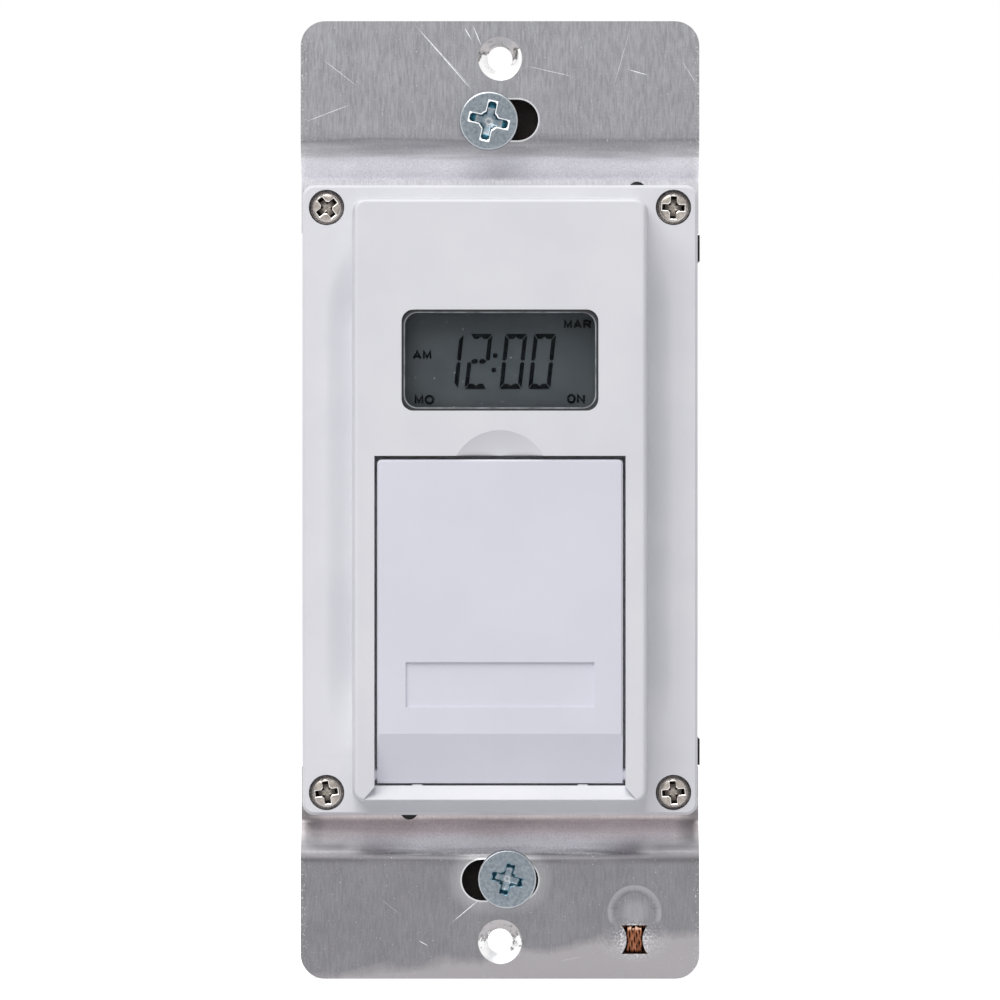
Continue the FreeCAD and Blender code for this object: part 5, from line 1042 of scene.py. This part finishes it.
def segments(shown):
    # The outlines of the driven segments of one figure, upright, from its lower left corner. The others
    # are three of them turned over left to right, upside down or both.
    wide, high = displayLook["digitWide"], displayLook["digitHigh"]
    stroke, bar = displayLook["stroke"], displayLook["bar"]
    middle, half = wide / 2, high / 2
    top = [(0.08, high), (wide - 0.08, high), (wide - stroke - 0.02, high - bar), (middle + 0.3, high - bar),
           (middle, high - bar + 0.24), (middle - 0.3, high - bar), (stroke + 0.02, high - bar)]
    right = [(wide, high - 0.12), (wide, half + 0.16), (wide - stroke * 0.6, half + 0.06),
             (wide - stroke, half + 0.3), (wide - stroke, high - bar - 0.1)]
    lozenge = [(stroke * 0.75, half), (stroke + 0.15, half + bar * 0.44), (middle - 0.2, half + bar * 0.44),
               (middle - 0.04, half), (middle - 0.2, half - bar * 0.44), (stroke + 0.15, half - bar * 0.44)]
    top, right, lozenge = np.array(top), np.array(right), np.array(lozenge)
    over, down = np.array([wide, 0]), np.array([0, high])
    every = {
        "top": top,
        "bottom": top * (1, -1) + down,
        "rightUp": right,
        "rightLow": right * (1, -1) + down,
        "leftUp": right * (-1, 1) + over,
        "leftLow": over + down - right,
        "middleLeft": lozenge,
        "middleRight": lozenge * (-1, 1) + over,
    }
    lit = {
        "0": ["top", "bottom", "rightUp", "rightLow", "leftUp", "leftLow"],
        "1": ["rightUp", "rightLow"],
        "2": ["top", "rightUp", "middleLeft", "middleRight", "leftLow", "bottom"],
    }
    return [every[word] for word in lit[shown]]


def figures():
    # Each figure is leaned by the slant about its baseline and set at its place.
    lean = math.tan(math.radians(displayLook["slant"]))
    outlines = []
    for left, shown in zip(displayLook["lefts"], displayLook["shown"]):
        for flat in segments(shown):
            outlines.append(flat + np.outer(flat[:, 1], (lean, 0)) + (left, displayLook["baseline"]))
    for dot in displayLook["dots"]:
        outlines.append(roundedOutline(*displayLook["dotSize"], 5) + np.array(dot))
    return thinShapes(outlines, displayLook["inkFront"], displayLook["thick"])


makePiece("displayFigures", figures(), ["drivenLiquidCrystal"])


def arc(x, z, wide, high, start, end, steps=9):
    # Points on part of an ellipse, from one angle in degrees to another.
    angle = np.radians(np.linspace(start, end, steps))
    return list(zip(x + wide * np.cos(angle), z + high * np.sin(angle)))


# Each letter is a list of strokes, each a line of (x, z) points in a box of 1 by 1.
letterStrokes = {
    "A": [[(0.02, 0), (0.5, 1), (0.98, 0)], [(0.2, 0.3), (0.8, 0.3)]],
    "D": [[(0.1, 0), (0.1, 1), *arc(0.45, 0.5, 0.5, 0.5, 90, -90), (0.1, 0)]],
    "E": [[(0.95, 0), (0.1, 0), (0.1, 1), (0.95, 1)], [(0.1, 0.52), (0.85, 0.52)]],
    "F": [[(0.1, 0), (0.1, 1), (0.95, 1)], [(0.1, 0.52), (0.8, 0.52)]],
    "M": [[(0.05, 0), (0.05, 1), (0.5, 0.15), (0.95, 1), (0.95, 0)]],
    "N": [[(0.05, 0), (0.05, 1), (0.95, 0), (0.95, 1)]],
    "O": [arc(0.5, 0.5, 0.5, 0.5, 0, 180, 13), arc(0.5, 0.5, 0.5, 0.5, 180, 360, 13)],
    "R": [[(0.08, 0), (0.08, 1), *arc(0.6, 0.75, 0.33, 0.25, 90, -90), (0.08, 0.5)], [(0.5, 0.5), (0.98, 0)]],
    "/": [[(0.2, -0.05), (0.8, 1.05)]],
    "+": [[(0, 0.5), (1, 0.5)], [(0.5, 0), (0.5, 1)]],
    "-": [[(0, 0.5), (1, 0.5)]],
}


mitre = 0.55  # a bend's corner reaches no further than half the stroke over this


def strokeOutline(line, bold):
    # The line widened by half the stroke to both sides. A bend is widened along its bisector.
    ahead = np.diff(line, axis=0)
    ahead /= np.linalg.norm(ahead, axis=1, keepdims=True)
    normal = np.column_stack([-ahead[:, 1], ahead[:, 0]])
    bisector = np.concatenate([normal[:1], normal[:-1] + normal[1:], normal[-1:]])
    bisector /= np.linalg.norm(bisector, axis=1, keepdims=True)
    first = np.concatenate([normal[:1], normal])
    reach = bold / 2 / np.maximum((bisector * first).sum(1), mitre)
    offset = bisector * reach[:, None]
    return np.concatenate([line + offset, (line - offset)[::-1]])


def words(name, rows, front, material, body="timer_body"):
    # Each row is a text with its middle, width and height, the thickness of its strokes and the share of
    # the width that each letter takes.
    outlines = []
    for text, x, z, wide, high, bold, share in rows:
        step = wide / (len(text) - 1 + share)
        size = np.array([step * share - bold, high - bold])
        for order, letter in enumerate(text):
            corner = np.array([x - wide / 2 + order * step + bold / 2, z - high / 2 + bold / 2])
            for stroke in letterStrokes[letter]:
                outlines.append(strokeOutline(np.array(stroke) * size + corner, bold))
    makePiece(name, thinShapes(outlines, front, displayLook["thick"]), [material], (), body)


displayTexts = [
    ("AM", -8.5, 15.82, 2.12, 1.0, 0.25, 0.95),
    ("MO", -8.27, 10.96, 2.22, 1.04, 0.25, 0.94),
    ("MAR", 8.47, 19.18, 3.1, 1.0, 0.25, 0.95),
    ("ON", 8.31, 11.05, 2.0, 1.04, 0.24, 0.92),
]
words("displayWords", displayTexts, displayLook["inkFront"], "drivenLiquidCrystal")
print("display lit")

legendLook = {
    "front": 4.92,
    "x": 9.4,
    "bold": 0.18,
    # each key's text, z, width, height and the share of the width that each letter takes
    "texts": [
        ("ON/OFF", -0.4, 4.2, 0.95, 0.78),
        ("MODE", -7.8, 3.4, 1.0, 0.78),
        ("+", -15.2, 1.6, 1.6, 1.0),
        ("-", -22.6, 1.6, 0.4, 1.0),
    ],
}
for key, (text, z, wide, high, share) in zip(keys, legendLook["texts"]):
    row = (text, legendLook["x"], z, wide, high, legendLook["bold"], share)
    words("legend_" + key, [row], legendLook["front"], "padPrintedInk", key + "_key")

batteryLook = {
    "foot": (-4.45, 5.4, -27.9),
    # profiles of the can and of its film, each a radius and a height over the can's foot
    "can": [(0, 0.05), (5.6, 0.05), (5.8, 0.0), (7.0, 0.0), (7.45, 0.18), (7.62, 0.6), (7.62, 25.2),
            (7.45, 25.8), (7.0, 26.1), (6.2, 26.2), (5.9, 26.0), (5.6, 25.6), (3.4, 25.5), (3.1, 25.9),
            (3.0, 26.2), (3.0, 26.8), (2.8, 27.0), (0, 27.0)],
    "film": [(7.63, 0.5), (7.1, 0.02), (6.6, 0.0), (6.6, 0.06), (7.66, 0.62), (7.72, 1.0), (7.8, 1.4),
             (7.8, 24.9), (7.7, 25.6), (7.2, 26.15), (6.3, 26.28), (6.3, 26.2), (7.1, 26.05), (7.63, 25.4)],
}
can = revolved(batteryLook["can"], batteryLook["foot"], "z", 64)
film = revolved(batteryLook["film"], batteryLook["foot"], "z", 64, around=True)
makePiece("batteryCan", [can], ["drawnNickelPlatedSteel"], ["battery_cell"])
makePiece("batteryFilm", [film], ["shrunkBlueFilm"])
print("battery wrapped")

capacitorLook = {
    "x": 12.6,
    "heights": [22.6, 13.0],
    "foot": 21.0,  # both the foot and the front are levels along Y
    "front": 9.0,
    "radius": 4.0,
    # profiles, each the radius less so much, and a distance from the foot or from the front
    "sleeveFoot": [(0.35, 0), (0.1, 0.2), (0, 0.6), (0, 1.4), (0.3, 1.8), (0.3, 2.1), (0, 2.5)],
    "sleeveFront": [(0, 0.5), (0.15, 0.15), (0.6, 0), (0.7, 0.05), (0.7, 0.3)],
    "lid": [(0.6, 0.6), (0.6, 0.12), (0.8, 0.02)],
}


def canShells(look, z):
    # The sleeve from its foot to its open front, and the bare lid in it.
    foot, front, radius = look["foot"], look["front"], look["radius"]
    sleeve = [(0, foot), *((radius - less, foot - y) for less, y in look["sleeveFoot"])]
    sleeve += [*((radius - less, front + y) for less, y in look["sleeveFront"]), (0, front + 0.3)]
    lid = [(0, front + 0.6), *((radius - less, front + y) for less, y in look["lid"]), (0, front + 0.02)]
    return [revolved(sleeve, (look["x"], 0, z)), revolved(lid, (look["x"], 0, z), finish=1)]


sleeved = ["shrunkDarkPvcSleeve", "drawnAluminiumCan"]
for number, z in enumerate(capacitorLook["heights"], 1):
    shells, replaced = canShells(capacitorLook, z), [f"supply_capacitor_{number}"]
    makePiece(f"supplyCan{number}", shells, sleeved, replaced)

varistorLook = {
    "centre": (-10.0, 0, -23.0),
    "profile": [(0, 21.0), (3.4, 21.0), (4.15, 20.5), (4.5, 19.5), (4.5, 18.5), (4.15, 17.5), (3.4, 17.0),
                (2.2, 17.12), (0, 17.15)],
}
disc = revolved(varistorLook["profile"], varistorLook["centre"])
makePiece("varistorDisc", [disc], ["dippedBlueEpoxy"], ["varistor"])

fuseLook = {
    "foot": (1.5, 19.5, -27.0),
    "profile": [(0, 0.0), (0.8, 0.0), (1.2, 0.25), (1.45, 0.7), (1.5, 1.2), (1.5, 1.9), (1.28, 2.4),
                (1.22, 4.5), (1.28, 6.6), (1.5, 7.1), (1.5, 7.8), (1.45, 8.3), (1.2, 8.75), (0.8, 9.0),
                (0, 9.0)],
}
resistor = revolved(fuseLook["profile"], fuseLook["foot"], "z", 40)
makePiece("fuseResistorBody", [resistor], ["dippedCeramicCoat"], ["fuse_resistor"])
print("power parts made")

# The floor is a pale disc just under the strap's lower end. It takes the timer's shadow. For the camera
# and for reflections it is lifted towards the white behind the timer.
floorLook = {
    "radii": [0.0, 100.0, 300.0, 1500.0],
    "level": -52.5,
    "colour": "#D2D2D5",
    "shade": "#CDCDD0",
    "cloud": 250.0,
    "lift": 0.8,  # for the camera
    "glossLift": 0.55,
}
floorShell = revolved([(radius, floorLook["level"]) for radius in floorLook["radii"]], (0, 0, 0), "z", 96)
floorMesh = bpy.data.meshes.new("floor")
floorMesh.from_pydata((floorShell["points"] * mm).tolist(), [], floorShell["faces"])
floor = bpy.data.objects.new("floor", floorMesh)
bpy.context.scene.collection.objects.link(floor)


def seenShare(tree, seen, mirrored):
    # The first share for rays of the camera, the second for those of reflections and clear materials.
    rays = addNode(tree, "LightPath").node.outputs
    both = {0: rays["Is Glossy Ray"], 1: rays["Is Transmission Ray"]}
    both = addNode(tree, "Math", both, operation="MAXIMUM")
    part = addNode(tree, "Math", {0: both, 1: mirrored}, operation="MULTIPLY")
    return addNode(tree, "Math", {0: rays["Is Camera Ray"], 1: seen, 2: part}, operation="MULTIPLY_ADD")


# Pale painted board: matt and even, with hardly a cloud.
floorTree, place = newMaterial("paleStudioFloor")
cloud = addNode(floorTree, "TexNoise", {0: place, "Scale": perMetre / floorLook["cloud"]})
tones = {0: cloud, 6: floorLook["colour"], 7: floorLook["shade"]}
tone = addNode(floorTree, "Mix", tones, 2, data_type="RGBA")
share = seenShare(floorTree, floorLook["lift"], floorLook["glossLift"])
lit = addNode(floorTree, "BsdfDiffuse", {"Color": tone})
glow = addNode(floorTree, "Emission", {"Strength": share})
addNode(floorTree, "OutputMaterial", {"Surface": addNode(floorTree, "AddShader", {0: lit, 1: glow})})
floorMesh.materials.append(bpy.data.materials["paleStudioFloor"])

studioLook = {
    "fill": 0.27,
    # name, x, y, z, side, watts
    "lamps": [
        ("keyLamp", -320.0, -700.0, 1000.0, 1100.0, 15.2),
        ("sideLamp", 700.0, 500.0, 600.0, 600.0, 2.5),
    ],
}
world = bpy.data.worlds.new("studio")
world.use_nodes = True
worldTree = world.node_tree
worldTree.nodes.clear()
level = addNode(worldTree, "MapRange", {0: seenShare(worldTree, 1.0, 1.0), 3: studioLook["fill"], 4: 1.0})
background = addNode(worldTree, "Background", {"Color": "#FFFFFF", "Strength": level})
addNode(worldTree, "OutputWorld", {"Surface": background})
bpy.context.scene.world = world

for name, x, y, z, side, watts in studioLook["lamps"]:
    lampData = bpy.data.lights.new(name, "AREA")
    lampData.shape = "SQUARE"
    lampData.size = side * mm
    lampData.energy = watts
    lamp = bpy.data.objects.new(name, lampData)
    lamp.location = (x * mm, y * mm, z * mm)
    lamp.rotation_euler = (math.atan2(math.hypot(x, y), z), 0.0, math.atan2(x, -y))
    bpy.context.scene.collection.objects.link(lamp)
bpy.context.scene.view_settings.view_transform = "Standard"
print("studio lit")
